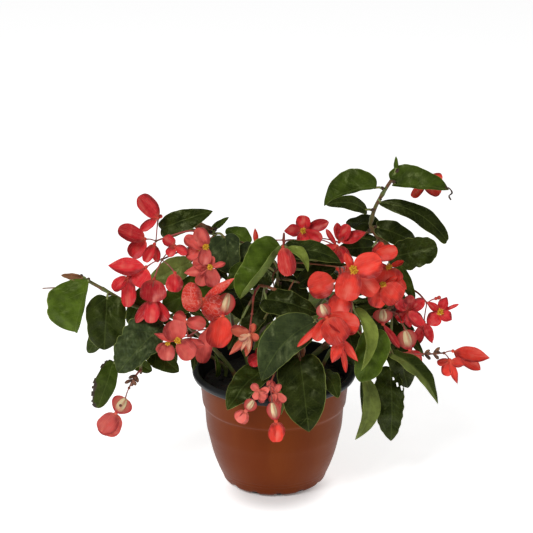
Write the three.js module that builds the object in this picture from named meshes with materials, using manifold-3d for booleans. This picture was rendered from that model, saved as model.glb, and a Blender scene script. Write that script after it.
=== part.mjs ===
// Potted begonia: a nursery pot with soil, leafy canes that arch over its rim, and bloom clusters.
// Millimetres, Z up. The pot stands on z = 0 and its axis is the Z axis.
import * as THREE from "three";
import { mergeVertices } from "three/addons/utils/BufferGeometryUtils.js";
import Module from "manifold-3d";

const wasm = await Module();
wasm.setup();

// Pot
const potHeight = 116;
const rimRadius = 80.3;
const rimInner = 72.6;
const footRadius = 48.5;
const floorThick = 2.2;
const potFacets = 24;
const footLugs = 9;
const drainHoles = 4;

// Soil
const soilTop = 101;
const soilGap = 0.35;

// Plant tissue
const leafThick = 0.9;
const petalThick = 0.85;
const petioleRadius = 1.2;
const pedicelRadius = 0.8;
const longPedicel = 16;
const peduncleRadius = 1.2;
const stalkGap = 0.35;
const pixelSize = 0.965;
const caneSteps = 9;
const upperSteps = 5;
const upperShare = 0.7;
const nodeSwell = 1.3;

// The view that the layout is written in: picture columns and rows, and a depth along +Y
const viewEye = new THREE.Vector3(-7.6, -1656.9, 819.3);
const viewTilt = THREE.MathUtils.degToRad(19.88);
const viewFocal = 1844;
const viewCentre = 266.5;
const towardView = [0, -1, 0.35];

const potColour = 0x74391d;
const soilColour = 0x1c1510;
const leafColour = 0x33491c;
const leafDark = 0x24371a;
const coral = 0xe2423c;
const crimson = 0xc4303a;
const pink = 0xdc5a58;

// A place in space from a picture column, a picture row and a depth
function at([column, row, depth]) {
  const across = (column - viewCentre) / viewFocal;
  const rise = (viewCentre - row) / viewFocal;
  const ray = new THREE.Vector3(
    across,
    Math.cos(viewTilt) + rise * Math.sin(viewTilt),
    rise * Math.cos(viewTilt) - Math.sin(viewTilt),
  );
  return viewEye.clone().addScaledVector(ray, (depth - viewEye.y) / ray.y);
}

// A solid that can be joined and cut
function solid(geometry) {
  const bare = geometry.index ? geometry : mergeVertices(strip(geometry), 1e-3);
  const welded = mergeVertices(strip(bare), 1e-3);
  return new wasm.Manifold(
    new wasm.Mesh({
      numProp: 3,
      vertProperties: new Float32Array(welded.attributes.position.array),
      triVerts: new Uint32Array(welded.index.array),
    }),
  );
}

function strip(geometry) {
  geometry.deleteAttribute("normal");
  geometry.deleteAttribute("uv");
  return geometry;
}

// The named mesh of a solid, in its own material
function mesh(name, body, colour, roughness) {
  const data = body.getMesh();
  const geometry = new THREE.BufferGeometry();
  geometry.setAttribute("position", new THREE.BufferAttribute(data.vertProperties, 3));
  geometry.setIndex(new THREE.BufferAttribute(data.triVerts, 1));
  geometry.computeVertexNormals();
  const material = new THREE.MeshStandardMaterial({ color: colour, roughness, metalness: 0 });
  const result = new THREE.Mesh(geometry, material);
  result.name = name;
  return result;
}

// All the pieces as one body, without loose scraps
function fuse(pieces) {
  let body = pieces[0];
  for (const piece of pieces.slice(1)) {
    body = body.add(piece);
  }
  return largest(body);
}

function largest(body) {
  let best = null;
  for (const part of body.decompose()) {
    if (best === null || part.volume() > best.volume()) {
      best = part;
    }
  }
  return best;
}

// A round stalk along a smooth curve through the points
function stalk(points, radius, sides, steps) {
  const outline = new THREE.Shape();
  for (let i = 0; i < sides; i += 1) {
    const angle = (i / sides) * Math.PI * 2;
    const x = radius * Math.cos(angle);
    const y = radius * Math.sin(angle);
    if (i === 0) {
      outline.moveTo(x, y);
    } else {
      outline.lineTo(x, y);
    }
  }
  outline.closePath();
  const extrudePath = new THREE.CatmullRomCurve3(points);
  return solid(new THREE.ExtrudeGeometry(outline, { steps, extrudePath, bevelEnabled: false }));
}

// A small knob
function knob(centre, radius, front = new THREE.Vector3(0, 0, 1), stretch = 1) {
  const ball = new THREE.OctahedronGeometry(radius, 0);
  ball.scale(1, 1, stretch);
  ball.applyQuaternion(new THREE.Quaternion().setFromUnitVectors(new THREE.Vector3(0, 0, 1), front));
  ball.translate(centre.x, centre.y, centre.z);
  return solid(ball);
}

// One side of a blade in its own plane: a cubic curve from base to tip, with its broadest half width.
// The lobe behind the base is larger on the broad side.
function margin(look, length, half, share) {
  const lobe = look.lobe + 0.4 * (share - 0.5);
  const shapes = {
    leaf: [-lobe, 1.25, look.blunt, 1.38],
    broad: [0.02, 1.25, 1.04, 1.45],
    narrow: [0.25, 1.2, 0.85, 1.45],
    pointed: [0.3, 1.3, 0.62, 1.15],
  };
  const [x1, y1, x2, y2] = shapes[look.kind];
  return new THREE.CubicBezierCurve(
    new THREE.Vector2(0, 0),
    new THREE.Vector2(x1 * length, y1 * half),
    new THREE.Vector2(x2 * length, y2 * half),
    new THREE.Vector2(length, 0),
  );
}

// A blade of even thickness: rows run across it from the right margin over the midrib to the left.
// Its midrib bends sideways, bows and curls, and each half is folded up from it by its own angle.
// A stem, as points away from the base, goes on from it as a three-sided stalk of the same body.
function blade(from, to, face, look, stem = []) {
  const { wide, left, bow, curl, bend, wave, puff, thick, steps, strips } = look;
  const folds = look.folds.map((degrees) => THREE.MathUtils.degToRad(degrees));
  const along = to.clone().sub(from);
  const length = along.length();
  along.normalize();
  const normal = new THREE.Vector3(...face).normalize();
  normal.addScaledVector(along, -normal.dot(along)).normalize();
  const side = normal.clone().cross(along);
  const margins = [
    margin(look, length, wide * (1 - left), 1 - left),
    margin(look, length, wide * left, left),
  ];
  const rows = [];
  for (let i = 0; i <= steps; i += 1) {
    const u = i / steps;
    const row = [];
    for (let j = -strips; j <= strips; j += 1) {
      const v = j / strips;
      const edge = margins[v < 0 ? 0 : 1].getPoint(u);
      const notch = 1 + (i % 2 === 0 ? 1 : -1) * wave;
      const share = Math.abs(v);
      const turn = folds[v < 0 ? 0 : 1] * Math.sign(v);
      const x = length * u ** 1.4 * (1 - share) + edge.x * share;
      const out = edge.y * share * notch;
      const arch = 4 * (x / length) * (1 - x / length);
      const sway = curl * (2 * (x / length) - 1);
      const y = Math.sign(v) * out * Math.cos(turn) + bend * length * arch;
      const ripple = wave * wide * 0.9 * Math.sin(u * 9 + v * 2) * share * share * Math.sin(u * Math.PI);
      const lift = (bow + sway) * length * arch + out * Math.sin(Math.abs(turn)) + ripple;
      const half = thick / 2 + puff * Math.sin(u * Math.PI) * (1 - share * share);
      row.push([x, y, lift, half, turn]);
      if (i === 0 || i === steps) {
        break;
      }
    }
    rows.push(row);
  }
  const points = [];
  const put = ([x, y, lift, half, turn], level) => {
    const place = from.clone().addScaledVector(along, x);
    place.addScaledVector(side, y - level * half * Math.sin(turn));
    place.addScaledVector(normal, lift + level * half * Math.cos(turn));
    points.push(place.x, place.y, place.z);
    return points.length / 3 - 1;
  };
  const across = 2 * strips;
  const top = rows.map((row) => row.map((spot) => put(spot, 1)));
  const under = rows.map((row) => row.map((spot) => put(spot, -1)));
  const faces = [];
  const both = (pick) => {
    const [a, b, c] = pick(top);
    const [d, e, f] = pick(under);
    faces.push(a, b, c, d, f, e);
  };
  let base = [top[0][0], under[0][0], under[0][0]];
  if (stem.length > 0) {
    base = stemRings([from, ...stem], along, normal, points, faces);
    faces.push(base[2], base[1], under[1][strips]);
  }
  for (let j = 0; j < across; j += 1) {
    faces.push(base[0], top[1][j], top[1][j + 1]);
    faces.push(base[j < strips ? 2 : 1], under[1][j + 1], under[1][j]);
    both((s) => [s[steps - 1][j], s[steps][0], s[steps - 1][j + 1]]);
    for (let i = 1; i < steps - 1; i += 1) {
      both((s) => [s[i][j], s[i + 1][j], s[i + 1][j + 1]]);
      both((s) => [s[i][j], s[i + 1][j + 1], s[i][j + 1]]);
    }
  }
  const rim = [[base[0], base[2]]];
  for (let i = 1; i < steps; i += 1) {
    rim.push([top[i][0], under[i][0]]);
  }
  rim.push([top[steps][0], under[steps][0]]);
  for (let i = steps - 1; i > 0; i -= 1) {
    rim.push([top[i][across], under[i][across]]);
  }
  rim.push([base[0], base[1]]);
  for (let k = 0; k < rim.length - 1; k += 1) {
    const [high, low] = rim[k];
    const [nextHigh, nextLow] = rim[k + 1];
    faces.push(nextHigh, high, low, nextHigh, low, nextLow);
  }
  const geometry = new THREE.BufferGeometry();
  geometry.setAttribute("position", new THREE.Float32BufferAttribute(points, 3));
  geometry.setIndex(faces);
  return solid(geometry);
}

// The sides and the end of a leaf stalk; gives its first ring, the top corner and the two under it
function stemRings(spots, along, normal, points, faces) {
  const first = points.length / 3;
  let up = normal;
  spots.forEach((spot, i) => {
    const inwards = i === 0 ? along : spots[i - 1].clone().sub(spot).normalize();
    const outwards = i === spots.length - 1 ? inwards : spot.clone().sub(spots[i + 1]).normalize();
    const way = inwards.clone().add(outwards).normalize();
    up = up.clone().addScaledVector(way, -up.dot(way)).normalize();
    const side = up.clone().cross(way);
    for (const [rise, out] of [[1, 0], [-0.5, 0.87], [-0.5, -0.87]]) {
      const corner = spot.clone().addScaledVector(up, rise * petioleRadius);
      corner.addScaledVector(side, out * petioleRadius);
      points.push(corner.x, corner.y, corner.z);
    }
  });
  const last = first + 3 * (spots.length - 1);
  for (let ring = first; ring < last; ring += 3) {
    for (let k = 0; k < 3; k += 1) {
      const next = (k + 1) % 3;
      faces.push(ring + k, ring + next, ring + 3 + next, ring + k, ring + 3 + next, ring + 3 + k);
    }
  }
  faces.push(last, last + 1, last + 2);
  return [first, first + 1, first + 2];
}

// A leaf from its base to its tip, with its stalk from the nearest place on the cane
function leaf(line, plan) {
  const from = at([...plan.from, plan.y[0]]);
  const to = at([...plan.to, plan.y[1]]);
  const look = {
    kind: "leaf",
    wide: plan.wide * pixelSize,
    left: plan.left ?? 0.5,
    lobe: plan.lobe ?? 0.12,
    blunt: plan.blunt ?? 0.62,
    bow: 0.1,
    curl: plan.curl ?? 0,
    bend: plan.bend ?? 0,
    folds: plan.folds ?? [7, 7],
    wave: plan.wave ?? 0.035,
    puff: 0,
    thick: leafThick,
    steps: plan.wide > 28 && plan.y[1] < 60 ? 5 : 4,
    strips: plan.wide > 40 && plan.y[1] < 50 ? 2 : 1,
  };
  const start = nearest(line, plan.join ? at(plan.join) : from);
  const elbow = start.clone().lerp(from, 0.6);
  elbow.z += plan.rise ?? 1.5;
  return blade(from, to, plan.face ?? towardView, look, [elbow, start]);
}

function nearest(line, place) {
  let best = line[0];
  for (const spot of line) {
    if (spot.distanceTo(place) < best.distanceTo(place)) {
      best = spot;
    }
  }
  return best;
}

// A cane: it stands upright in the soil, then follows its points
function caneCurve(plan) {
  const [x, y] = plan.root;
  const points = [76, 88, 100, 110].map((z) => new THREE.Vector3(x, y, z));
  for (const spot of plan.path) {
    points.push(at(spot));
  }
  return points;
}

// Close-set points along a stalk as it is built, from straight lengths
function trace(points, steps) {
  const bends = new THREE.CatmullRomCurve3(points).getSpacedPoints(steps);
  const line = [];
  for (let i = 0; i < steps; i += 1) {
    for (let k = 0; k < 8; k += 1) {
      line.push(bends[i].clone().lerp(bends[i + 1], k / 8));
    }
  }
  line.push(bends[steps]);
  return line;
}

function caneLine(plan) {
  const line = trace(caneCurve(plan), caneSteps);
  if (plan.upper) {
    line.push(...trace(plan.upper.map(at), upperSteps));
  }
  return line;
}

const canes = [
  {
    name: "cane_left",
    root: [-38, -8],
    radius: 2.3,
    path: [[206, 341, -12], [170, 316, -18], [134, 306, -22], [107.6, 291.6, -26], [83, 278, -30]],
    twigs: [
      { radius: 0.9, path: [[83, 278, -30], [63, 286.5, -32], [42.6, 288.4, -30]] },
      { radius: 0.8, path: [[140, 309, -21], [142, 322, -24], [139, 331, -26]] },
    ],
    leaves: [
      {
        from: [89, 280], to: [75, 332], y: [-34, -46], wide: 39, left: 0.12, lobe: -0.18,
        blunt: 1.14, face: [-0.2, -1, 0.4],
      },
      {
        from: [107, 297], to: [104, 350], y: [-30, -38], wide: 41, lobe: 0.26, blunt: 0.86,
        face: [0.1, -1, 0.3],
      },
      { from: [112, 318], to: [88, 353], y: [-8, -4], wide: 19, blunt: 0.85 },
      { from: [152, 286], to: [128, 324], y: [-12, -18], wide: 22, blunt: 0.85, face: [0, -1, 0.5] },
      {
        from: [84, 279], to: [61, 275], y: [-28, -22], wide: 11, left: 0.7, folds: [40, 40],
        face: [0, -1, 0.8],
      },
      {
        from: [163, 324], to: [118, 373], y: [-37, -57], wide: 42, left: 0.37, blunt: 0.82,
        wave: 0.07, face: [0, -1, 0.6],
      },
    ],
  },
  {
    name: "cane_low_left",
    root: [-48, 12],
    radius: 2,
    path: [[203, 352, 6], [172, 338, -2], [150, 341, -12], [142, 352, -18], [140.8, 374, -22]],
    leaves: [
      {
        from: [113, 361], to: [97, 408], y: [-20, -26], wide: 24, left: 0.4, blunt: 0.98,
        face: [0.3, -1, 0.2],
      },
      {
        from: [147, 344], to: [179, 372], y: [-30, -40], wide: 23, left: 0.42, blunt: 0.8,
        face: [0, -1, 0.5],
      },
      { from: [128, 358], to: [152, 371], y: [-12, -10], wide: 14, blunt: 0.9 },
    ],
  },
  {
    name: "cane_back_left",
    root: [-26, 26],
    radius: 2.2,
    path: [[234, 330, 36], [228, 285, 40], [219, 252, 40], [214, 234, 38]],
    leaves: [
      {
        from: [161, 229], to: [213, 211], y: [24, 26], wide: 25, left: 0.45, lobe: 0.2, blunt: 0.62,
        face: [0, -1, 0.6], rise: 3,
      },
      { from: [214, 231], to: [187, 219], y: [42, 44], wide: 11, face: [0, -1, -0.2] },
      { from: [191, 262], to: [149, 282], y: [16, 6], wide: 25, blunt: 0.85 },
      {
        from: [225, 236], to: [232, 274], y: [26, 6], wide: 36, left: 0.42, lobe: 0.3, blunt: 0.8,
        face: [-0.2, -1, 0.5],
      },
      { from: [250, 243], to: [226, 229], y: [50, 62], wide: 19, blunt: 0.95, face: [0, -0.7, 1] },
      { from: [236, 292], to: [203, 302], y: [20, 8], wide: 26, blunt: 0.8, face: [-0.2, -0.7, 1] },
      { from: [234, 290], to: [248, 322], y: [44, 20], wide: 32, blunt: 0.85, face: [0.1, -0.6, 1] },
      {
        from: [212, 286], to: [162, 306], y: [14, 0], wide: 38, left: 0.55, blunt: 0.85,
        face: [-0.1, -1, 0.6],
      },
      { from: [251, 243], to: [238, 263], y: [22, 14], wide: 17, blunt: 0.85, face: [0.2, -1, 0.3] },
      { from: [246, 264], to: [228, 289], y: [6, -6], wide: 18, blunt: 0.8, face: [-0.2, -1, 0.4] },
    ],
  },
  {
    name: "cane_tall",
    root: [6, 14],
    radius: 2.2,
    path: [[278, 330, 16], [277, 290, 14], [280, 262, 10], [284, 247, 4]],
    twigs: [
      { radius: 0.9, path: [[279.4, 268, 11], [273, 275, 2], [274.4, 289, -6]] },
      { radius: 1, path: [[280, 262, 10], [308, 263.5, -3], [339, 267, -24]] },
    ],
    leaves: [
      {
        from: [281, 247], to: [240, 299], y: [-10, -34], wide: 37, left: 0.26, lobe: 0.2,
        blunt: 0.9, bend: 0.06, folds: [4, 128], face: [0, -1, 0.5],
      },
      {
        from: [285, 247], to: [341, 263], y: [-2, -14], wide: 25, blunt: 0.7, curl: 0.12,
        face: [0, -0.7, 1],
      },
      {
        from: [287, 249], to: [308, 272], y: [-12, -22], wide: 13, left: 0.6, bend: 0.16,
        folds: [55, 20], face: [0, -1, 0.6],
      },
      { from: [262, 266], to: [240, 245], y: [26, 36], wide: 21, blunt: 0.85, face: [0, -0.8, 1] },
      { from: [283, 277], to: [300, 316], y: [30, 14], wide: 36, blunt: 0.85, face: [0.1, -0.6, 1] },
      { from: [270, 290], to: [262, 320], y: [24, 6], wide: 28, blunt: 0.85, face: [-0.2, -0.7, 1] },
      { from: [298, 284], to: [336, 268], y: [4, 0], wide: 22, blunt: 0.85, face: [0, -1, 1] },
      { from: [270, 258], to: [256, 292], y: [32, 22], wide: 28, blunt: 0.85, face: [-0.1, -1, 0.4] },
      { from: [288, 256], to: [322, 282], y: [30, 18], wide: 28, blunt: 0.85, face: [0.2, -1, 0.5] },
    ],
  },
  {
    name: "cane_centre",
    root: [26, -8],
    radius: 2.1,
    path: [[304, 330, -14], [300.5, 304.3, -18], [285, 295.4, -20], [273, 289, -20], [259.7, 285, -18]],
    twigs: [
      { radius: 1.1, path: [[300.5, 304.3, -18], [308, 307, -22], [316, 308, -28]] },
      { radius: 1.1, path: [[287, 296.5, -20], [290, 288, -22], [294, 280.5, -24]] },
    ],
    leaves: [
      {
        from: [264, 299], to: [318, 314], y: [-24, -36], wide: 30, left: 0.45, lobe: 0.25,
        blunt: 0.75, face: [0, -0.8, 0.8],
      },
      { from: [268, 334], to: [262, 303], y: [-10, -8], wide: 16 },
      { from: [262, 304], to: [244, 336], y: [-6, -18], wide: 24, blunt: 0.8, face: [-0.2, -1, 0.5] },
    ],
  },
  {
    name: "cane_front",
    root: [10, -40],
    radius: 2,
    path: [[290, 352, -48], [302, 338, -52], [318, 319, -50]],
    leaves: [
      {
        from: [315, 322], to: [261.4, 381], y: [-58, -84], wide: 41, left: 0.42, blunt: 0.72,
        bend: -0.09, face: [0, -0.9, 0.8],
      },
      { from: [286, 325], to: [253, 350], y: [-36, -40], wide: 21, blunt: 0.75, face: [0, -0.6, 1] },
      {
        from: [300, 359], to: [309, 432], y: [-66, -97], wide: 48, left: 0.48, lobe: 0.3,
        blunt: 0.74, face: [0, -1, 0.25],
      },
      { from: [292, 362], to: [281, 415], y: [-60, -88], wide: 16, face: [-0.5, -1, 0.2] },
      { from: [322, 370], to: [338, 398], y: [-56, -84], wide: 20, blunt: 0.8, face: [0.4, -1, 0.4] },
      { from: [264, 368], to: [227, 410], y: [-52, -94], wide: 31, blunt: 0.76, face: [-0.2, -0.8, 1] },
    ],
  },
  {
    name: "cane_right",
    root: [44, -6],
    radius: 2.2,
    path: [[330, 352, -8], [350, 330, -10], [372, 318, -10], [392, 306, -8], [405, 290, -4]],
    leaves: [
      {
        from: [355, 309], to: [361, 371], y: [-40, -62], wide: 20, left: 0.6, bend: 0.12,
        folds: [50, 10], face: [0.4, -1, 0.2],
      },
      {
        from: [374, 330], to: [360, 382], y: [-36, -50], wide: 34, left: 0.58, lobe: 0.25,
        blunt: 0.88, face: [0.2, -1, 0.4],
      },
      {
        from: [366, 379], to: [355, 440], y: [-24, -36], wide: 19, left: 0.55, blunt: 0.74,
        bend: 0.12, face: [0.3, -1, 0.1], join: [380, 314, -9],
      },
      {
        from: [390, 367], to: [391, 441], y: [-8, -22], wide: 32, left: 0.42, blunt: 0.78,
        wave: 0.07, face: [0.1, -1, 0.2], join: [392, 306, -8],
      },
      {
        from: [391, 353], to: [438, 404], y: [-40, -56], wide: 20, left: 0.5, blunt: 0.66,
        bend: 0.08, face: [0.3, -0.7, 1],
      },
      { from: [401, 266], to: [415, 299], y: [-4, -12], wide: 13, left: 0.32, blunt: 0.8 },
      { from: [369, 321], to: [386, 342], y: [-20, -24], wide: 20, blunt: 0.9 },
      { from: [388, 306], to: [346, 316], y: [8, -2], wide: 26, blunt: 0.85, face: [0, -0.8, 0.8] },
      { from: [390, 322], to: [408, 388], y: [2, -6], wide: 30, blunt: 0.85, join: [372, 318, -10] },
      { from: [348, 331], to: [356, 366], y: [6, -2], wide: 26, blunt: 0.85, face: [0.1, -1, 0.4] },
    ],
  },
  {
    name: "cane_upper_right",
    root: [32, 22],
    radius: 3.3,
    path: [[352, 322, 44], [386, 278, 56], [391, 250, 58], [378, 237, 58], [370, 225, 58]],
    upper: [[370, 225, 58], [375, 208, 58], [385, 190, 56], [395, 175, 54]],
    leaves: [
      {
        from: [376, 188], to: [324, 206], y: [50, 62], wide: 25, left: 0.12, blunt: 0.8,
        bend: -0.08, face: [0, -1, 0.7],
      },
      {
        from: [367, 211], to: [326, 205], y: [52, 40], wide: 15, left: 0.5, blunt: 0.8, bend: -0.11,
        face: [0, -1, 0.5],
      },
      {
        from: [393, 184], to: [449, 190], y: [50, 42], wide: 24, left: 0.84, lobe: 0.3, blunt: 0.7,
        face: [0, -1, 0.6],
      },
      {
        from: [379, 203], to: [447, 241], y: [48, 30], wide: 21, left: 0.5, lobe: -0.05, blunt: 1.1,
        bend: 0.085, face: [0.2, -1, 0.8],
      },
      {
        from: [377, 227], to: [416, 243], y: [56, 62], wide: 23, left: 0.5, lobe: 0.25, blunt: 0.85,
        face: [0, -1, 0.6],
      },
      {
        from: [389, 258], to: [437, 246], y: [44, 26], wide: 34, left: 0.46, blunt: 1.08,
        wave: 0.07, face: [0.1, -1, 0.4],
      },
      { from: [380, 229], to: [346, 222], y: [66, 84], wide: 23, blunt: 0.85, face: [0, -0.8, 1] },
      { from: [374, 247], to: [337, 249], y: [52, 42], wide: 20, blunt: 0.8 },
      { from: [382, 280], to: [334, 297], y: [40, 34], wide: 36, blunt: 0.85, face: [-0.3, -0.6, 1] },
      { from: [386, 290], to: [404, 318], y: [40, 34], wide: 26, blunt: 0.8, face: [0.3, -0.8, 1] },
    ],
  },
  {
    name: "cane_rear_left",
    root: [-14, 46],
    radius: 2.1,
    path: [[256, 330, 62], [246, 300, 74], [232, 285, 86]],
    leaves: [
      {
        from: [232, 284], to: [206, 322], y: [96, 118], wide: 36, left: 0.4, blunt: 0.8,
        face: [-0.4, 1, 0.7],
      },
      {
        from: [250, 290], to: [262, 330], y: [96, 124], wide: 40, left: 0.6, lobe: 0.3, blunt: 0.85,
        face: [0, 1, 0.7],
      },
      { from: [224, 290], to: [187, 321], y: [66, 52], wide: 32, blunt: 0.8, face: [-0.7, 0.1, 1] },
      { from: [246, 276], to: [232, 262], y: [80, 104], wide: 26, blunt: 0.8, face: [0, 0.3, 1] },
      {
        from: [244, 312], to: [216, 352], y: [78, 100], wide: 30, blunt: 0.8, bend: 0.06,
        face: [-0.5, 1, 0.5],
      },
    ],
  },
  {
    name: "cane_rear_right",
    root: [22, 46],
    radius: 2.1,
    path: [[306, 326, 58], [322, 300, 70], [342, 280, 80]],
    leaves: [
      {
        from: [344, 278], to: [378, 300], y: [88, 112], wide: 38, lobe: 0.3, blunt: 0.8,
        face: [0.4, 1, 0.8],
      },
      {
        from: [322, 292], to: [318, 334], y: [90, 120], wide: 42, left: 0.45, lobe: 0.3,
        blunt: 0.85, face: [0, 1, 0.6],
      },
      { from: [336, 276], to: [300, 262], y: [74, 96], wide: 30, blunt: 0.8, face: [0, 0.3, 1] },
      {
        from: [352, 290], to: [388, 322], y: [80, 88], wide: 30, blunt: 0.8, bend: -0.06,
        face: [0.6, 0.3, 1],
      },
      { from: [300, 316], to: [288, 352], y: [84, 108], wide: 32, blunt: 0.8, face: [0, 1, 0.5] },
      {
        from: [334, 308], to: [362, 352], y: [78, 96], wide: 32, blunt: 0.8, bend: 0.06,
        face: [0.5, 1, 0.4],
      },
    ],
  },
];

// Bloom clusters. A flower has its centre, its tepals as tip column, tip row, width, depth step
// from the centre and form, and either a stamen knob or a winged ovary that ends in the centre.
const clusters = [
  {
    name: "bloom_top_left",
    cane: "cane_back_left",
    colour: crimson,
    stem: [[204, 243, 26], [193, 231, 7], [170, 236, 4], [156, 241, 5]],
    flowers: [
      { at: [158, 218, 12], tips: [[139, 196, 19, -3], [140, 231, 10, -4]], knob: 1.6 },
      { at: [145, 239, 4], tips: [[118, 229, 18, -6], [132, 257.5, 18, -3]], knob: 1.6 },
      { at: [154.5, 244, 4], tips: [[145, 262, 11, -4], [158, 262.5, 9, 1]], knob: 1.5 },
    ],
  },
  {
    name: "bloom_left",
    cane: "cane_back_left",
    colour: crimson,
    stem: [[214, 262, 28], [194, 247, 4], [181, 251, -10], [162, 259.5, -22]],
    flowers: [
      {
        at: [175, 246, -22],
        tips: [[163, 238, 12, -4], [168, 256, 10, -2], [187, 254, 10, -3]],
        knob: 1.5,
      },
      { at: [146, 267, -28], tips: [[108, 265.5, 20, -8, "pointed"], [134, 285, 25, -6]], knob: 1.8 },
      {
        at: [128, 277, -30],
        tips: [[113, 290, 14, -4], [127.5, 307, 15, -6]],
        knob: 1.5,
        hub: [146, 267, -27],
      },
      { at: [154, 279, -36], tips: [[152, 302, 27, -8]], knob: 1.8, hub: [162, 260, -24] },
      {
        at: [151, 299, -40],
        tips: [[136, 323, 11, -6], [150, 323, 17, -9], [168, 320, 14, -6]],
        knob: 1.5,
        hub: [154, 279, -36],
      },
      { at: [175, 273, -34], tips: [[174, 292, 18, -4]], puff: 2, knob: 1.2, hub: [162, 260, -24] },
    ],
  },
  {
    name: "bloom_pink",
    cane: "cane_back_left",
    colour: pink,
    stem: [[219, 276, 24], [214, 262, -18]],
    flowers: [
      {
        at: [206, 247, -26],
        tips: [[197, 228, 16, -5], [184, 238, 14, 0], [203, 265, 14, -6]],
        knob: 2.4,
      },
      { at: [199, 248.5, -22], tips: [[187, 258, 14, -3]], knob: 2 },
      {
        at: [210, 267.5, -32],
        tips: [
          [184, 273, 13, -4, "pointed"],
          [193, 261, 12, 2],
          [214, 287, 16, -6],
          [198, 285, 14, -3],
          [212, 256, 8, 4],
        ],
        knob: 2.4,
      },
    ],
  },
  {
    name: "bloom_bright",
    cane: "cane_left",
    colour: coral,
    stem: [[208, 331, -22], [212, 314, -44]],
    flowers: [
      {
        at: [203, 299, -54],
        tips: [[181.5, 299, 30, -6], [234.5, 278, 11, -4, "pointed"], [221, 316, 28, -2]],
        knob: 2.2,
      },
      {
        at: [223, 316, -56],
        ovary: [228.5, 293, -50, 18],
        tips: [[217, 347.5, 26, -8], [226, 340, 18, 3]],
      },
    ],
  },
  {
    name: "bloom_blush",
    cane: "cane_left",
    colour: pink,
    stem: [[192, 336, -20], [188, 336, -40]],
    flowers: [
      {
        at: [178, 341, -58],
        tips: [[173, 320, 26, 2], [154, 333.5, 8, -3, "pointed"], [193, 358, 21, -6], [205, 345, 12, 4]],
        knob: 2.6,
      },
      { at: [168, 343, -56], tips: [[167, 360.5, 17, -6], [157, 352, 9, -2]], knob: 2.2 },
      { at: [186, 322, -32], tips: [[206, 324, 15, -2], [174, 315, 14, 0]], knob: 1.4 },
      { at: [208, 329, -38], tips: [[202, 363, 17, -6]], knob: 1.4 },
    ],
  },
  {
    name: "bloom_hanging",
    cane: "cane_low_left",
    colour: pink,
    stem: [[139.5, 371, -26], [134, 378, -28], [129, 388, -28]],
    flowers: [
      {
        at: [116, 413, -30],
        ovary: [126, 398, -28, 23],
        tips: [[101.5, 432, 21, -5], [107, 436, 24, 3]],
      },
    ],
  },
  {
    name: "bloom_faded",
    cane: "cane_centre",
    colour: coral,
    stem: [[255, 292, -24], [252, 314, -50]],
    flowers: [
      {
        at: [250, 334, -64],
        tips: [
          [231, 329, 12, -3],
          [229, 355, 9, -5, "pointed"],
          [246, 357, 9, -2, "pointed"],
          [258, 340, 8, 0],
        ],
        knob: 2.2,
      },
    ],
  },
  {
    name: "bloom_shaded",
    cane: "cane_front",
    colour: crimson,
    stem: [[284, 356, -42], [272, 352, -50]],
    flowers: [
      { at: [263, 356, -54], tips: [[249, 364, 14, -4], [257, 348, 9, 2]], knob: 2 },
    ],
  },
  {
    name: "bloom_bud",
    cane: "cane_tall",
    colour: coral,
    stem: [[284, 234, 4], [283, 240, -20]],
    flowers: [
      { at: [283, 247, -28], tips: [[288.5, 276, 19, -8]], puff: 2.2, knob: 1.4 },
    ],
  },
  {
    name: "bloom_top",
    cane: "cane_tall",
    colour: crimson,
    stem: [[284, 243, 14], [290, 240, 36], [306, 241, 46]],
    flowers: [
      {
        at: [303, 231, 28],
        tips: [
          [305, 215.5, 16, 4],
          [329, 222, 13, 0],
          [284, 231, 15, -3, "pointed"],
          [322, 240, 13, -4],
          [304, 246, 14, -4],
        ],
        knob: 2.4,
      },
      {
        at: [339, 242, 20],
        tips: [[337, 222.5, 9, 2], [348, 224.5, 13, 0], [366, 232, 15, -3, "pointed"]],
        knob: 1.6,
      },
      { at: [337, 246, 8], tips: [[321, 249, 8, -3], [331, 254, 17, -2], [345, 262, 16, -4]], knob: 1.6 },
    ],
  },
  {
    name: "bloom_main",
    cane: "cane_right",
    colour: coral,
    stem: [[352, 322, -14], [352, 300, -30], [352, 284, -40]],
    flowers: [
      {
        at: [353.5, 270, -50],
        tips: [[382, 261, 27, -6], [345, 300, 27, -8], [345.5, 252.5, 9, 2], [375, 294, 23, 2]],
        knob: 3.2,
      },
      { at: [372, 258, -36], tips: [[397.5, 250, 16, -4], [382, 242, 10, 2]], knob: 1.4 },
      { at: [334, 281, -44], tips: [[308.5, 289, 28, -5]], knob: 1.6 },
      { at: [342, 292, -40], tips: [[336, 315, 24, -8]], knob: 1.6 },
    ],
  },
  {
    name: "bloom_right",
    cane: "cane_right",
    colour: coral,
    stem: [[378, 314, -14], [386, 298, -26]],
    flowers: [
      { at: [388.5, 267, -26], tips: [[389, 284, 29, -8], [372, 265, 8, 2]], knob: 2.4 },
      { at: [383, 284.5, -40], tips: [[399, 301, 25, -5], [374, 307, 20, -4]], knob: 2.4 },
    ],
  },
  {
    name: "bloom_right_low",
    cane: "cane_right",
    colour: crimson,
    stem: [[388, 312, -14], [398, 314, -22]],
    flowers: [
      { at: [383, 324, -28], ovary: [383, 309, -26, 20], tips: [[399.5, 348, 8, -4]] },
      {
        at: [410, 350, -26],
        ovary: [405, 330, -24, 21],
        tips: [[422, 364, 13, -3, "pointed"], [408, 362, 12, -1]],
      },
      {
        at: [408, 311, -24],
        tips: [
          [393, 298, 14, -2, "pointed"],
          [410, 295, 12, 1],
          [424, 300, 13, 2],
          [397, 320, 15, 3],
          [410, 328, 12, -3, "pointed"],
          [423, 326, 12, -3],
        ],
        knob: 1.8,
      },
    ],
  },
  {
    name: "bloom_centre",
    cane: "cane_front",
    colour: coral,
    stem: [[324, 313, -56], [327, 303, -64]],
    flowers: [
      {
        at: [327, 318, -76],
        ovary: [321, 304, -68, 15],
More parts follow.
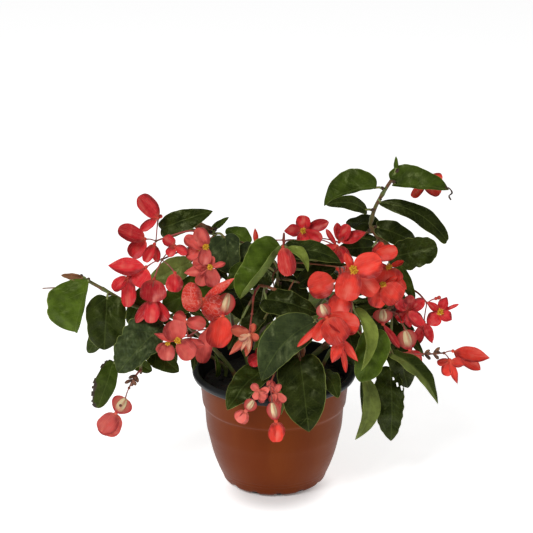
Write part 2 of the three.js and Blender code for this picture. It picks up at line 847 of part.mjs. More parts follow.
        tips: [[359, 327, 23, 0], [341, 343, 28, -10], [316, 341, 13, -5]],
      },
      {
        at: [341, 338, -80],
        tips: [[332, 363, 14, -5, "pointed"], [358, 361.5, 10, -2, "pointed"]],
        knob: 1.6,
        hub: [329, 320, -75],
      },
    ],
  },
  {
    name: "bloom_far_right",
    cane: "cane_right",
    colour: crimson,
    stem: [[408, 288, -6], [418, 293, -8], [427, 303, -10]],
    flowers: [
      {
        at: [440, 312, -14],
        tips: [
          [447, 297, 12, 0, "pointed"],
          [452, 320, 14, -4, "pointed"],
          [427, 325, 18, -2, "pointed"],
          [427, 302, 10, 2, "pointed"],
        ],
        knob: 2.6,
      },
      { at: [424, 322, -12], tips: [[432.5, 343.5, 12, -3, "pointed"], [415, 346, 12, 1]], knob: 1.5 },
    ],
  },
  {
    name: "bloom_tip_right",
    cane: "cane_right",
    colour: coral,
    stem: [[360, 332, -20], [384, 349, -33], [424, 354, -33], [444, 353, -26]],
    flowers: [
      { at: [453, 351, -24], tips: [[490, 358, 19, -4, "pointed"], [480.5, 370, 13, 2]], knob: 1.6 },
      {
        at: [450, 360, -25],
        tips: [
          [465, 365, 12, -3, "pointed"],
          [446, 376, 12, -2],
          [457.5, 384, 9, -4, "pointed"],
          [437, 363, 8, 0],
        ],
        knob: 1.6,
      },
    ],
  },
  {
    name: "bloom_behind_top",
    cane: "cane_upper_right",
    colour: coral,
    stem: [[398, 180, 58], [412, 184, 64]],
    flowers: [
      { at: [424, 183, 64], tips: [[442, 175, 11, 2], [440, 194, 14, 0], [412, 197, 10, -1]], knob: 1.6 },
    ],
  },
  {
    name: "bloom_pot_front",
    cane: "cane_front",
    colour: coral,
    stem: [[283, 357, -50], [277, 367, -76], [270, 385, -96]],
    flowers: [
      { at: [259, 391, -100], tips: [[252, 384, 8, 0], [266, 399, 10, -2]], knob: 1.8 },
      { at: [246, 411, -100], ovary: [254, 400, -98, 13], tips: [[236, 420, 13, -2], [243, 424, 10, 1]] },
      { at: [276, 421, -100], ovary: [272, 402, -98, 14], tips: [[276, 442, 16, -3], [281, 438, 12, 2]] },
      { at: [276, 393, -90], tips: [[285, 402, 9, -2], [268, 381, 9, 3]], knob: 1.4 },
    ],
  },
  {
    name: "bloom_rear_left",
    cane: "cane_rear_left",
    colour: crimson,
    stem: [[244, 303, 92], [238, 307, 108]],
    flowers: [
      {
        at: [232, 306, 126],
        face: [-0.2, 1, 0.5],
        tips: [[222, 290, 22, 6], [240, 322, 22, 6], [218, 312, 9, 4], [246, 298, 9, 4]],
        knob: 2.6,
      },
    ],
  },
  {
    name: "bloom_rear_right",
    cane: "cane_rear_right",
    colour: coral,
    stem: [[340, 268, 86], [344, 268, 108]],
    flowers: [
      {
        at: [344, 276, 120],
        face: [0.2, 1, 0.5],
        tips: [[330, 266, 22, 6], [358, 286, 22, 6], [352, 262, 9, 4], [336, 292, 9, 4]],
        knob: 2.6,
      },
    ],
  },
];

// A tepal: broad and rounded, pointed, or narrow, cupped towards its face
function tepal(centre, tip, wide, face, puff, form = "broad") {
  const reach = tip.clone().sub(centre).normalize();
  const from = centre.clone().addScaledVector(reach, 0.7);
  const narrow = form === "broad" && wide < 0.5 * from.distanceTo(tip);
  return blade(from, tip, face, {
    kind: narrow ? "narrow" : form,
    wide,
    left: 0.5,
    bow: -0.04,
    curl: 0,
    bend: 0,
    folds: [3, 3],
    wave: 0.01,
    puff,
    thick: petalThick,
    steps: narrow || wide < 12.5 ? 2 : wide < 23 ? 3 : 4,
    strips: 1,
  });
}

// A seed case with three thin wings round its axis, as one star-shaped body
function wingedOvary(from, to, wide, face) {
  const axis = to.clone().sub(from);
  const length = axis.length();
  axis.normalize();
  const front = new THREE.Vector3(...face).normalize();
  front.addScaledVector(axis, -front.dot(axis)).normalize();
  const side = front.clone().cross(axis);
  const star = [];
  for (const [turn, reach] of [[0.5, 0.28], [1.08, 0.5], [1.92, 0.5]]) {
    const edge = 0.45 / (reach * wide);
    star.push([turn - edge / Math.PI, reach], [turn + edge / Math.PI, reach], [turn + 0.29, 0.16]);
  }
  const points = [from.x, from.y, from.z];
  const sizes = [0.78, 1, 0.8];
  sizes.forEach((size, i) => {
    const middle = from.clone().addScaledVector(axis, (length * (i + 1)) / 4);
    for (const [turn, reach] of star) {
      const angle = turn * Math.PI;
      const spot = middle.clone().addScaledVector(side, Math.cos(angle) * reach * size * wide);
      spot.addScaledVector(front, Math.sin(angle) * reach * size * wide);
      points.push(spot.x, spot.y, spot.z);
    }
  });
  points.push(to.x, to.y, to.z);
  const count = star.length;
  const last = 1 + count * sizes.length;
  const faces = [];
  for (let j = 0; j < count; j += 1) {
    const k = (j + 1) % count;
    faces.push(0, 1 + k, 1 + j);
    faces.push(last, last - count + j, last - count + k);
    for (let i = 0; i < sizes.length - 1; i += 1) {
      const a = 1 + i * count;
      const b = a + count;
      faces.push(a + j, b + k, b + j, a + j, a + k, b + k);
    }
  }
  const geometry = new THREE.BufferGeometry();
  geometry.setAttribute("position", new THREE.Float32BufferAttribute(points, 3));
  geometry.setIndex(faces);
  return solid(geometry);
}

function flower(plan, hub) {
  const centre = at(plan.at);
  const face = plan.face ?? [0, -1, 0.45];
  const front = new THREE.Vector3(...face).normalize();
  const pieces = [];
  const stack = 0.55 * (plan.tips.length - 1);
  let foot = centre.clone().addScaledVector(front, -stack - 1.3);
  if (plan.ovary) {
    const [column, row, depth, wide] = plan.ovary;
    foot = at([column, row, depth]);
    pieces.push(wingedOvary(foot, centre, wide * pixelSize, face));
    foot.addScaledVector(centre.clone().sub(foot).normalize(), 1.6);
    pieces.push(knob(centre, 2.6, front, 0.8 + 0.2 * plan.tips.length));
  } else {
    const middle = centre.clone().addScaledVector(front, 0.3);
    pieces.push(knob(middle, Math.max(plan.knob, 2.6), front, 0.8 + 0.2 * plan.tips.length));
  }
  const layers = [...plan.tips].sort((one, other) => other[3] - one[3]);
  layers.forEach(([column, row, wide, step, form], layer) => {
    const tip = at([column, row, plan.at[2] + step]);
    const level = centre.clone().addScaledVector(front, 1.1 * layer - stack);
    pieces.push(tepal(level, tip, wide * pixelSize, face, plan.puff ?? 0, form));
  });
  const start = plan.hub ? at(plan.hub) : hub;
  const bend = start.clone().lerp(foot, 0.5);
  bend.z += 0.08 * start.distanceTo(foot);
  const steps = start.distanceTo(foot) > longPedicel ? 2 : 1;
  pieces.push(stalk([start, bend, foot], pedicelRadius, 3, steps));
  return pieces;
}

function potShell() {
  const outer = [
    [0, 0],
    [footRadius - 3.5, 0],
    [footRadius + 1.2, 2.4],
    [54.6, 12.8],
    [60.6, 29.4],
    [64.8, 49],
    [66.8, 57],
    [68.2, 79.5],
    [70.2, 81.5],
    [72.6, 107],
    [79, 109.6],
    [rimRadius, 114.2],
    [rimRadius - 2, potHeight],
    [rimInner + 1.4, potHeight],
    [70.4, 99],
    [68.7, 82],
    [66.6, 79],
    [63.2, 48],
    [53, 13],
    [footRadius - 1, floorThick],
    [0, floorThick],
  ];
  const profile = outer.map(([radius, z]) => new THREE.Vector2(radius, z));
  const shell = new THREE.LatheGeometry(profile, potFacets);
  shell.rotateX(Math.PI / 2);
  let body = solid(shell);
  for (let i = 0; i < footLugs; i += 1) {
    const angle = ((i + 0.5) / footLugs) * Math.PI * 2 - Math.PI / 2 + 0.16;
    const notch = new THREE.BoxGeometry(9, 15, 2.4);
    notch.translate(footRadius + 2, 0, 0);
    notch.rotateZ(angle);
    body = body.subtract(solid(notch));
  }
  for (let i = 0; i < drainHoles; i += 1) {
    const angle = ((i + 0.5) / drainHoles) * Math.PI * 2;
    const hole = new THREE.CylinderGeometry(4, 4, 12, 6);
    hole.rotateX(Math.PI / 2);
    hole.translate(30 * Math.cos(angle), 30 * Math.sin(angle), floorThick / 2);
    body = body.subtract(solid(hole));
  }
  return body;
}

// The soil: it follows the inside of the pot, its top is lumpy, and each cane stands in a hole
function soilBody() {
  const rings = 3;
  const facets = 16;
  const topRadius = 70.6 - soilGap - 1;
  const wall = [
    [topRadius, soilTop],
    [68.2 - soilGap, 82],
    [66.1 - soilGap, 79],
    [62.7 - soilGap, 48],
    [52.5 - soilGap, 13],
    [footRadius - 2, floorThick + soilGap],
  ];
  const points = [];
  const faces = [];
  const ring = (radius, z, lumps) => {
    for (let j = 0; j < facets; j += 1) {
      const angle = (j / facets) * Math.PI * 2;
      const lump = lumps * (Math.sin(angle * 3 + radius) + Math.sin(angle * 5 - radius * 0.7));
      points.push(radius * Math.cos(angle), radius * Math.sin(angle), z + lump);
    }
  };
  points.push(0, 0, soilTop + 2);
  for (let i = 1; i < rings; i += 1) {
    ring((topRadius * i) / rings, soilTop + 1.6 - 0.3 * i, 1.0);
  }
  for (const [radius, z] of wall) {
    ring(radius, z, 0);
  }
  const bottom = points.length / 3;
  points.push(0, 0, floorThick + soilGap);
  const count = rings - 1 + wall.length;
  for (let j = 0; j < facets; j += 1) {
    const k = (j + 1) % facets;
    faces.push(0, 1 + j, 1 + k);
    for (let i = 0; i < count - 1; i += 1) {
      const a = 1 + i * facets;
      const b = a + facets;
      faces.push(a + j, b + j, b + k, a + j, b + k, a + k);
    }
    const last = 1 + (count - 1) * facets;
    faces.push(last + k, last + j, bottom);
  }
  const geometry = new THREE.BufferGeometry();
  geometry.setAttribute("position", new THREE.Float32BufferAttribute(points, 3));
  geometry.setIndex(faces);
  let body = solid(geometry);
  for (const plan of canes) {
    const hole = new THREE.CylinderGeometry(plan.radius + 2, plan.radius + 2, 40, 5);
    hole.rotateX(Math.PI / 2);
    hole.translate(plan.root[0], plan.root[1], 75.5 + 20);
    body = body.subtract(solid(hole));
  }
  return body;
}

function caneBody(plan) {
  const line = caneLine(plan);
  const pieces = [stalk(caneCurve(plan), plan.radius, 5, caneSteps)];
  const upper = plan.upper ? plan.upper.map(at) : [];
  if (upper.length > 0) {
    pieces.push(stalk(upper, plan.radius * upperShare, 5, upperSteps));
    pieces.push(knob(upper[0], plan.radius * 1.5));
  } else {
    pieces.push(knob(at(plan.path[plan.path.length - 1]), plan.radius * nodeSwell));
  }
  for (const twig of plan.twigs ?? []) {
    pieces.push(stalk(twig.path.map(at), twig.radius, 3, 3));
  }
  for (const one of plan.leaves) {
    pieces.push(leaf(line, one));
  }
  return fuse(pieces);
}

// The space of a cane with the gap that its flower stalks keep to it
function sleeve(plan) {
  const body = stalk(caneCurve(plan), plan.radius + stalkGap, 5, caneSteps);
  if (!plan.upper) {
    return body.add(knob(at(plan.path[plan.path.length - 1]), plan.radius * nodeSwell + 2 * stalkGap));
  }
  return body.add(stalk(plan.upper.map(at), plan.radius * upperShare + stalkGap, 5, upperSteps));
}

function clusterBody(plan) {
  const home = canes.find((cane) => cane.name === plan.cane);
  const line = caneLine(home);
  const points = plan.stem.map(at);
  points.unshift(nearest(line, points[0]));
  const hub = points[points.length - 1];
  const pieces = [stalk(points, peduncleRadius, 3, points.length + 1), knob(hub, 2.2)];
  for (const one of plan.flowers) {
    pieces.push(...flower(one, hub));
  }
  return largest(fuse(pieces).subtract(sleeve(home)));
}

const plant = new THREE.Group();
plant.add(mesh("pot", potShell(), potColour, 0.45));
plant.add(mesh("soil", soilBody(), soilColour, 0.95));
for (const plan of canes) {
  const dark = plan.name.includes("rear") || plan.name.includes("front");
  plant.add(mesh(plan.name, caneBody(plan), dark ? leafDark : leafColour, 0.5));
}
for (const plan of clusters) {
  plant.add(mesh(plan.name, clusterBody(plan), plan.colour, 0.6));
}

export default plant;
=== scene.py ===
# Potted begonia: a nursery pot with peat, ten leafy canes and twenty bloom clusters
import math

import bpy
import numpy as np
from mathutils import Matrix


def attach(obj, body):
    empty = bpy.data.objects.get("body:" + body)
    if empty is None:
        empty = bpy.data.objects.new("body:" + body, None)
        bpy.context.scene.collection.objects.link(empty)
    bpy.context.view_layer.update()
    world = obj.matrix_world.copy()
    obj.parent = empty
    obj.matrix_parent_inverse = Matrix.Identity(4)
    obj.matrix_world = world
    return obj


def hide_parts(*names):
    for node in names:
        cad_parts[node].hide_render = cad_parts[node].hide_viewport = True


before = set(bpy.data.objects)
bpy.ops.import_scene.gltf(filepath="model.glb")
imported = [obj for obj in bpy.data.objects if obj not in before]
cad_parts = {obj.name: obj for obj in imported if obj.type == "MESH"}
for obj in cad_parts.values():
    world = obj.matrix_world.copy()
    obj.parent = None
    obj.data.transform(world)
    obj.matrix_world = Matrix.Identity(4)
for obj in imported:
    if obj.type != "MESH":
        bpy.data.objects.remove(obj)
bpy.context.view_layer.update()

metre = 0.001           # shapes are worked out in millimetres
dice = np.random.default_rng(7)

# The view that the layout is written in: columns and rows of a 533-pixel frame, and a depth along +Y in mm
view = {
    "eye": (-7.6, -1656.9, 819.3),
    "tilt": 19.88,          # degrees below the horizon
    "focal": 1844.0,        # pixels
    "centre": 266.5,        # pixels
    "frame": 533.0,         # pixels
    "pixel": 0.965,         # millimetres across a pixel at the pot
}


def at(places):
    # the ray through each column and row, followed to its depth; gives millimetres
    places = np.asarray(places, float)
    tilt = math.radians(view["tilt"])
    across = (places[..., 0] - view["centre"]) / view["focal"]
    rise = (view["centre"] - places[..., 1]) / view["focal"]
    forward = math.cos(tilt) + rise * math.sin(tilt)
    upward = rise * math.cos(tilt) - math.sin(tilt)
    ray = np.stack([across, forward, upward], axis=-1)
    eye = np.array(view["eye"])
    reach = (places[..., 2] - eye[1]) / ray[..., 1]
    return eye + ray * reach[..., None]


def putIn(name, data):
    # an object in the scene, with its mesh, lamp or lens
    made = bpy.data.objects.new(name, data)
    bpy.context.scene.collection.objects.link(made)
    return made


def placeCamera():
    # a pinhole camera at the view's eye, tilted down
    lens = bpy.data.cameras.new("camera")
    lens.sensor_width = 36
    lens.angle = 2 * math.atan(view["frame"] / 2 / view["focal"])
    camera = putIn("camera", lens)
    camera.location = np.array(view["eye"]) * metre
    camera.rotation_euler = (math.radians(90 - view["tilt"]), 0, 0)
    bpy.context.scene.camera = camera


placeCamera()
print("camera placed")


# Materials

def linear(code):
    # an sRGB hex colour as linear red, green, blue and alpha
    code = code.lstrip("#")
    coded = np.array([int(code[i:i + 2], 16) for i in (0, 2, 4)]) / 255
    bright = np.where(coded <= 0.04045, coded / 12.92, ((coded + 0.055) / 1.055) ** 2.4)
    return (*bright.tolist(), 1.0)


def shares(code):
    # the same colour's linear red, green and blue
    return np.array(linear(code)[:3])


def feed(tree, node, links):
    # each socket gets a number, a colour, or what another node puts out first
    for socket, value in links.items():
        if isinstance(value, bpy.types.Node):
            value = next(out for out in value.outputs if out.enabled)
        if isinstance(value, bpy.types.NodeSocket):
            tree.links.new(value, node.inputs[socket])
        else:
            node.inputs[socket].default_value = value


def add(tree, kind, links=None, **settings):
    # one node with its settings and its links
    made = tree.nodes.new("ShaderNode" + kind)
    for key, value in settings.items():
        setattr(made, key, value)
    feed(tree, made, links or {})
    return made


def newMaterial(name):
    # a material, its tree of nodes and its shader
    material = bpy.data.materials.new(name)
    material.use_nodes = True
    tree = material.node_tree
    shader = tree.nodes["Principled BSDF"]
    return material, tree, shader


def grainOn(tree):
    # what most patterns share: they lie in the piece's own space and are fairly fine
    return {"Vector": add(tree, "TexCoord").outputs["Object"], "Detail": 3.0, "Roughness": 0.55}


def coat(tree, base, value, start, full, most, code):
    # a colour laid over the base: none up to where the value is start, and its most from full on
    share = add(tree, "MapRange", {0: value, 1: start, 2: full, 4: most}, interpolation_type="SMOOTHSTEP")
    return add(tree, "Mix", {0: share, 6: base, 7: linear(code)}, data_type="RGBA")


leafLook = {
    "veinStep": 11.0,       # mm between side veins along the midrib
    "veinSlant": 0.85,      # mm along the leaf for each mm outwards
    "margin": "#a3ad5c",    # thin dry rim of the blade
    "vein": "#7f8f4a",
    "shade": "#080e02",     # between the blotches
    "bloom": "#8a963c",     # on the blotches
    "net": "#6d7f3a",
    "rough": 0.25,
    "sheen": "#dde8a0",
    "under": "#7c8a4c",     # pale underside
    "underVein": "#9aa066",
    "flush": "#8a4a3a",     # red flush on the underside
}


def leafVeins(tree, along, out, rim):
    # 1 on the midrib, and less on the slanted side veins, which fade towards the rim; all lengths are in mm
    side = add(tree, "Math", {0: out}, operation="ABSOLUTE")
    slant = add(tree, "Math", {0: side, 1: leafLook["veinSlant"]}, operation="MULTIPLY")
    slid = add(tree, "Math", {0: along, 1: slant}, operation="SUBTRACT")
    step = add(tree, "Math", {0: slid, 1: leafLook["veinStep"] / 2}, operation="PINGPONG")
    midrib = add(tree, "MapRange", {0: side, 1: 0.9, 2: 0.2}, interpolation_type="SMOOTHSTEP")
    branch = add(tree, "MapRange", {0: step, 1: 0.55, 2: 0.1, 4: 0.6}, interpolation_type="SMOOTHSTEP")
    fade = add(tree, "MapRange", {0: rim, 1: 0.97, 2: 0.5}, interpolation_type="SMOOTHSTEP")
    branch = add(tree, "Math", {0: branch, 1: fade}, operation="MULTIPLY")
    return add(tree, "Math", {0: midrib, 1: branch}, operation="MAXIMUM")


def leafSkin(name, under):
    # begonia leaf: waxy cuticle over a quilted blade, so soft wide highlights that break at the veins
    material, tree, shader = newMaterial(name)
    grain = grainOn(tree)
    tone = add(tree, "Attribute", attribute_name="tone").outputs["Color"]
    place = add(tree, "Attribute", attribute_name="place").outputs["Vector"]
    along, out, rim = add(tree, "SeparateXYZ", {0: place}).outputs
    veins = leafVeins(tree, along, out, rim)
    # blotches of about 12 mm, and a net of small veins, about 2 mm across
    blotch = add(tree, "TexNoise", {**grain, "Scale": 85.0, "Detail": 4.0})
    cells = add(tree, "TexVoronoi", {"Vector": grain["Vector"], "Scale": 480.0}, feature="DISTANCE_TO_EDGE")
    net = add(tree, "MapRange", {0: cells, 1: 0.12, 2: 0.0}, interpolation_type="SMOOTHSTEP")
    if under:
        base = add(tree, "Mix", {0: 0.62, 6: tone, 7: linear(leafLook["under"])}, data_type="RGBA")
        base = coat(tree, base, blotch, 0.52, 0.75, 0.35, leafLook["flush"])
    else:
        dark = add(tree, "Mix", {0: 0.48, 6: tone, 7: linear(leafLook["shade"])}, data_type="RGBA")
        bright = add(tree, "Mix", {0: 0.06, 6: tone, 7: linear(leafLook["bloom"])}, data_type="RGBA")
        lit = add(tree, "MapRange", {0: blotch, 1: 0.3, 2: 0.72}, interpolation_type="SMOOTHSTEP")
        base = add(tree, "Mix", {0: lit, 6: dark, 7: bright}, data_type="RGBA")
        base = coat(tree, base, cells, 0.12, 0.0, 0.06, leafLook["net"])
    lines = add(tree, "Math", {0: veins, 1: 0.6 if under else 0.12}, operation="MULTIPLY")
    pale = linear(leafLook["underVein" if under else "vein"])
    base = add(tree, "Mix", {0: lines, 6: base, 7: pale}, data_type="RGBA")
    base = coat(tree, base, rim, 0.96, 0.985, 0.45, leafLook["margin"])
    # the relief: fine grain, the net sunk in it, and veins that are sunk above and stand out below
    height = add(tree, "TexNoise", {**grain, "Scale": 1500.0, "Detail": 2.0})
    height = add(tree, "Math", {0: height, 1: 0.25}, operation="MULTIPLY")
    height = add(tree, "Math", {0: net, 1: -0.35, 2: height}, operation="MULTIPLY_ADD")
    height = add(tree, "Math", {0: veins, 1: 0.8 if under else -0.8, 2: height}, operation="MULTIPLY_ADD")
    # the wax is worn in patches of about 17 mm
    low, high = (0.25, 0.35) if under else (-0.08, 0.1)
    worn = add(tree, "TexNoise", {**grain, "Scale": 60.0})
    rough = leafLook["rough"]
    feed(tree, shader, {
        "Base Color": base,
        "Normal": add(tree, "Bump", {"Height": height, "Distance": 0.0004, "Strength": 0.55}),
        "Roughness": add(tree, "MapRange", {0: worn, 1: 0.3, 2: 0.7, 3: rough + low, 4: rough + high}),
        "IOR": 1.45,
        "Specular IOR Level": 0.12 if under else 0.22,
        "Specular Tint": linear(leafLook["sheen"]),
    })
    return material


petalLook = {
    "rough": 0.4,
    "streak": 0.8,          # mm between the fine lengthwise streaks
    "deep": "#7c0d14",      # blotches of full colour
    "fold": "#7a0c14",      # hollows and edges in the shade
    "pale": "#f58a76",      # painted sheen where the tepal faces the light, and the pale streaks
    "root": "#e8905c",      # at the foot of a tepal
    "veins": "#f6c8bc",     # pale net of an old tepal
    "sparkle": 0.45,        # mm across a surface cell
    # painted glint, at the middle of each surface cell
    "glitter": "#ffc3b4",
}


def petalSkin():
    # begonia tepal: juicy tissue of swollen cells, which glitter like fine sugar
    material, tree, shader = newMaterial("petal tissue")
    grain = grainOn(tree)
    tone = add(tree, "Attribute", attribute_name="tone").outputs["Color"]
    # the tepal's painted shade and painted highlight, worked out with its shape
    shadeAndSheen = add(tree, "Attribute", attribute_name="shadeAndSheen").outputs[2]
    place = add(tree, "Attribute", attribute_name="place").outputs["Vector"]
    along = add(tree, "SeparateXYZ", {0: place}).outputs[0]
    streaks = add(tree, "Mapping", {"Vector": place, "Scale": (0.06, 1 / petalLook["streak"], 0.0)})
    lines = add(tree, "TexNoise", {"Vector": streaks, "Scale": 1.0, "Detail": 3.0})
    cells = add(tree, "TexVoronoi", {"Vector": grain["Vector"], "Scale": 1000.0 / petalLook["sparkle"]})
    # blotches of about 17 mm
    blotch = add(tree, "TexNoise", {**grain, "Scale": 60.0, "Detail": 2.0})
    lit = add(tree, "MapRange", {0: blotch, 1: 0.25, 2: 0.7}, interpolation_type="SMOOTHSTEP")
    deep = add(tree, "Mix", {0: 0.15, 6: tone, 7: linear(petalLook["deep"])}, data_type="RGBA")
    base = add(tree, "Mix", {0: lit, 6: deep, 7: tone}, data_type="RGBA")
    # painted shade where the share is over one half, and a painted sheen where it is under
    base = coat(tree, base, shadeAndSheen, 0.5, 1.0, 0.8, petalLook["fold"])
    base = coat(tree, base, shadeAndSheen, 0.5, 0.0, 0.5, petalLook["pale"])
    base = coat(tree, base, lines, 0.5, 0.75, 0.3, petalLook["pale"])
    base = coat(tree, base, along, 5.0, 0.0, 0.15, petalLook["root"])
    # a painted glint at the middle of each cell
    base = coat(tree, base, cells, 0.35, 0.0, 0.16, petalLook["glitter"])
    height = add(tree, "Math", {0: cells, 1: -0.7}, operation="MULTIPLY")
    height = add(tree, "Math", {0: lines, 1: 1.1, 2: height}, operation="MULTIPLY_ADD")
    feed(tree, shader, {
        "Base Color": base,
        "Normal": add(tree, "Bump", {"Height": height, "Distance": 0.00025, "Strength": 0.45}),
        "Roughness": petalLook["rough"],
        "IOR": 1.42,
        "Specular IOR Level": 0.3,
        "Subsurface Weight": 0.12,
        "Subsurface Radius": (1.0, 0.25, 0.15),
        "Subsurface Scale": 0.002,
    })
    return material


skinTones = {
    "barkFlush": "#6e3a24",
    "barkPore": "#b5a884",
    "pollen": ("#c98a12", "#f2c832"),
    "peatDark": "#070504",
    "dust": "#b99b86",      # on the pot
    "scuff": "#b07a5c",     # on the pot
    "dryDark": "#2a1c12",
}


def stemSkin():
    # begonia cane: smooth green bark with a red flush and pale breathing pores
    material, tree, shader = newMaterial("cane bark")
    grain = grainOn(tree)
    tone = add(tree, "Attribute", attribute_name="tone").outputs["Color"]
    # a flush in patches of about 17 mm, and a pore every 3 mm or so
    patches = add(tree, "TexNoise", {**grain, "Scale": 60.0})
    pores = add(tree, "TexVoronoi", {"Vector": grain["Vector"], "Scale": 300.0})
    base = coat(tree, tone, patches, 0.42, 0.66, 1.0, skinTones["barkFlush"])
    base = coat(tree, base, pores, 0.16, 0.08, 0.6, skinTones["barkPore"])
    height = add(tree, "TexNoise", {**grain, "Scale": 900.0})
    feed(tree, shader, {
        "Base Color": base,
        "Normal": add(tree, "Bump", {"Height": height, "Distance": 0.0004, "Strength": 0.5}),
        "Roughness": 0.46,
    })
    return material


def antherSkin():
    # pollen sacs: matt, grainy and deep yellow
    material, tree, shader = newMaterial("anther pollen")
    grain = grainOn(tree)
    dust = add(tree, "TexNoise", {**grain, "Scale": 1400.0})
    height = add(tree, "TexNoise", {**grain, "Scale": 2600.0})
    dull, bright = [linear(code) for code in skinTones["pollen"]]
    base = add(tree, "Mix", {0: dust, 6: dull, 7: bright}, data_type="RGBA")
    feed(tree, shader, {
        "Base Color": base,
        "Normal": add(tree, "Bump", {"Height": height, "Distance": 0.0003, "Strength": 0.6}),
        "Roughness": 0.7,
    })
    return material


def peatSkin():
    # moist peat: nearly black, rough and fibrous, with dull brown lumps
    material, tree, shader = newMaterial("moist peat")
    grain = grainOn(tree)
    tone = add(tree, "Attribute", attribute_name="tone").outputs["Color"]
    # lumps of about 4 mm, with fibres under 1 mm on them
    lumps = add(tree, "TexNoise", {**grain, "Scale": 260.0, "Detail": 6.0, "Roughness": 0.7})
    fibres = add(tree, "TexNoise", {**grain, "Scale": 1300.0, "Detail": 4.0, "Roughness": 0.7})
    dark = add(tree, "Mix", {0: 0.75, 6: tone, 7: linear(skinTones["peatDark"])}, data_type="RGBA")
    lit = add(tree, "MapRange", {0: lumps, 1: 0.4, 2: 0.7}, interpolation_type="SMOOTHSTEP")
    height = add(tree, "Math", {0: fibres, 1: 0.5, 2: lumps}, operation="MULTIPLY_ADD")
    feed(tree, shader, {
        "Base Color": add(tree, "Mix", {0: lit, 6: dark, 7: tone}, data_type="RGBA"),
        "Normal": add(tree, "Bump", {"Height": height, "Distance": 0.0025, "Strength": 0.9}),
        "Roughness": 0.82,
    })
    return material


plasticLook = {             # two tones, the roughness and the tint of the shine
    "terracotta brown polypropylene": ("#692b0c", "#70320f", 0.4, "#f0c8a0"),
    "black polypropylene": ("#1b1c1d", "#26282a", 0.32, "#dfe4e8"),
}


def potPlastic(name, one, other, rough, sheen):
    # moulded polypropylene: satin, with faint flow marks, fine scuffs and a little dust
    material, tree, shader = newMaterial(name)
    grain = grainOn(tree)
    flow = add(tree, "Mapping", {"Vector": grain["Vector"], "Scale": (1.0, 1.0, 0.25)})
    scuffs = add(tree, "Mapping", {
        "Vector": grain["Vector"], "Scale": (1.0, 1.0, 9.0), "Rotation": (0.4, 0.2, 0),
    })
    # flow marks 40 mm across, scuffs 10 mm long and 1 mm wide, and specks of 1.4 mm
    marks = add(tree, "TexNoise", {"Vector": flow, "Scale": 26.0, "Detail": 4.0, "Roughness": 0.6})
    lines = add(tree, "TexNoise", {"Vector": scuffs, "Scale": 95.0, "Detail": 5.0, "Roughness": 0.7})
    dust = add(tree, "TexNoise", {**grain, "Scale": 700.0, "Detail": 2.0, "Roughness": 0.5})
    lit = add(tree, "MapRange", {0: marks, 1: 0.35, 2: 0.68}, interpolation_type="SMOOTHSTEP")
    base = add(tree, "Mix", {0: lit, 6: linear(one), 7: linear(other)}, data_type="RGBA")
    base = coat(tree, base, dust, 0.76, 0.8, 0.3, skinTones["dust"])
    base = coat(tree, base, lines, 0.64, 0.72, 0.1, skinTones["scuff"])
    height = add(tree, "TexNoise", {**grain, "Scale": 1100.0})
    feed(tree, shader, {
        "Base Color": base,
        "Normal": add(tree, "Bump", {"Height": height, "Distance": 0.0002, "Strength": 0.3}),
        "Roughness": add(tree, "MapRange", {0: lines, 1: 0.3, 2: 0.7, 3: rough - 0.06, 4: rough + 0.1}),
        "IOR": 1.49,
        "Specular IOR Level": 0.14,
        "Specular Tint": linear(sheen),
    })
    return material


def dryTissue():
    # withered leaf edges, bracts and stipules: papery, brown and curled
    material, tree, shader = newMaterial("dry tissue")
    grain = grainOn(tree)
    tone = add(tree, "Attribute", attribute_name="tone").outputs["Color"]
    specks = add(tree, "TexNoise", {**grain, "Scale": 420.0, "Detail": 4.0})
    base = coat(tree, tone, specks, 0.4, 0.65, 1.0, skinTones["dryDark"])
    height = add(tree, "TexNoise", {**grain, "Scale": 900.0, "Detail": 5.0})
    feed(tree, shader, {
        "Base Color": base,
        "Normal": add(tree, "Bump", {"Height": height, "Distance": 0.0006, "Strength": 0.7}),
        "Roughness": 0.75,
    })
    return material


leafTop = leafSkin("leaf upper skin", False)
leafUnder = leafSkin("leaf underside", True)
petalTissue = petalSkin()
caneBark = stemSkin()
antherPollen = antherSkin()
moistPeat = peatSkin()
dryPaper = dryTissue()
brownPlastic, blackPlastic = [potPlastic(name, *look) for name, look in plasticLook.items()]
print("materials ready")


# Mesh helpers

def makePiece(name, parts, materials, replaced):
    # several closed parts as one mesh, with their place on the tissue and their tone as attributes
    starts = np.cumsum([0] + [len(part["points"]) for part in parts])
    points = np.vstack([part["points"] for part in parts]) * metre
    tris = np.vstack([part["tris"] + start for part, start in zip(parts, starts)])
    quads = np.vstack([part["quads"] + start for part, start in zip(parts, starts)])
    skins = np.concatenate([part["triSkins"] for part in parts] + [part["quadSkins"] for part in parts])
    loops = np.concatenate([tris.ravel(), quads.ravel()]).astype(np.int32)
    firsts = np.concatenate([np.arange(len(tris)) * 3, len(tris) * 3 + np.arange(len(quads)) * 4])
    mesh = bpy.data.meshes.new(name)
    mesh.vertices.add(len(points))
    mesh.vertices.foreach_set("co", points.astype(np.float32).ravel())
    mesh.loops.add(len(loops))
    mesh.loops.foreach_set("vertex_index", loops)
    mesh.polygons.add(len(firsts))
    mesh.polygons.foreach_set("loop_start", firsts.astype(np.int32))
    mesh.polygons.foreach_set("material_index", skins.astype(np.int32))
    mesh.update(calc_edges=True)
    mesh.validate()
    tones = np.vstack([part["tone"] for part in parts])
    for key, kind, field, values in (
        ("place", "FLOAT_VECTOR", "vector", np.vstack([part["place"] for part in parts])),
        ("shadeAndSheen", "FLOAT", "value", np.concatenate([part["shadeAndSheen"] for part in parts])),
        ("tone", "FLOAT_COLOR", "color", np.column_stack([tones, np.ones(len(tones))])),
    ):
        layer = mesh.attributes.new(key, kind, "POINT")
        layer.data.foreach_set(field, values.astype(np.float32).ravel())
    mesh.shade_smooth()
    mesh.set_sharp_from_angle(angle=math.radians(48))
    for material in materials:
        mesh.materials.append(material)
    piece = putIn(name, mesh)
    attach(piece, "root")
    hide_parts(*replaced)


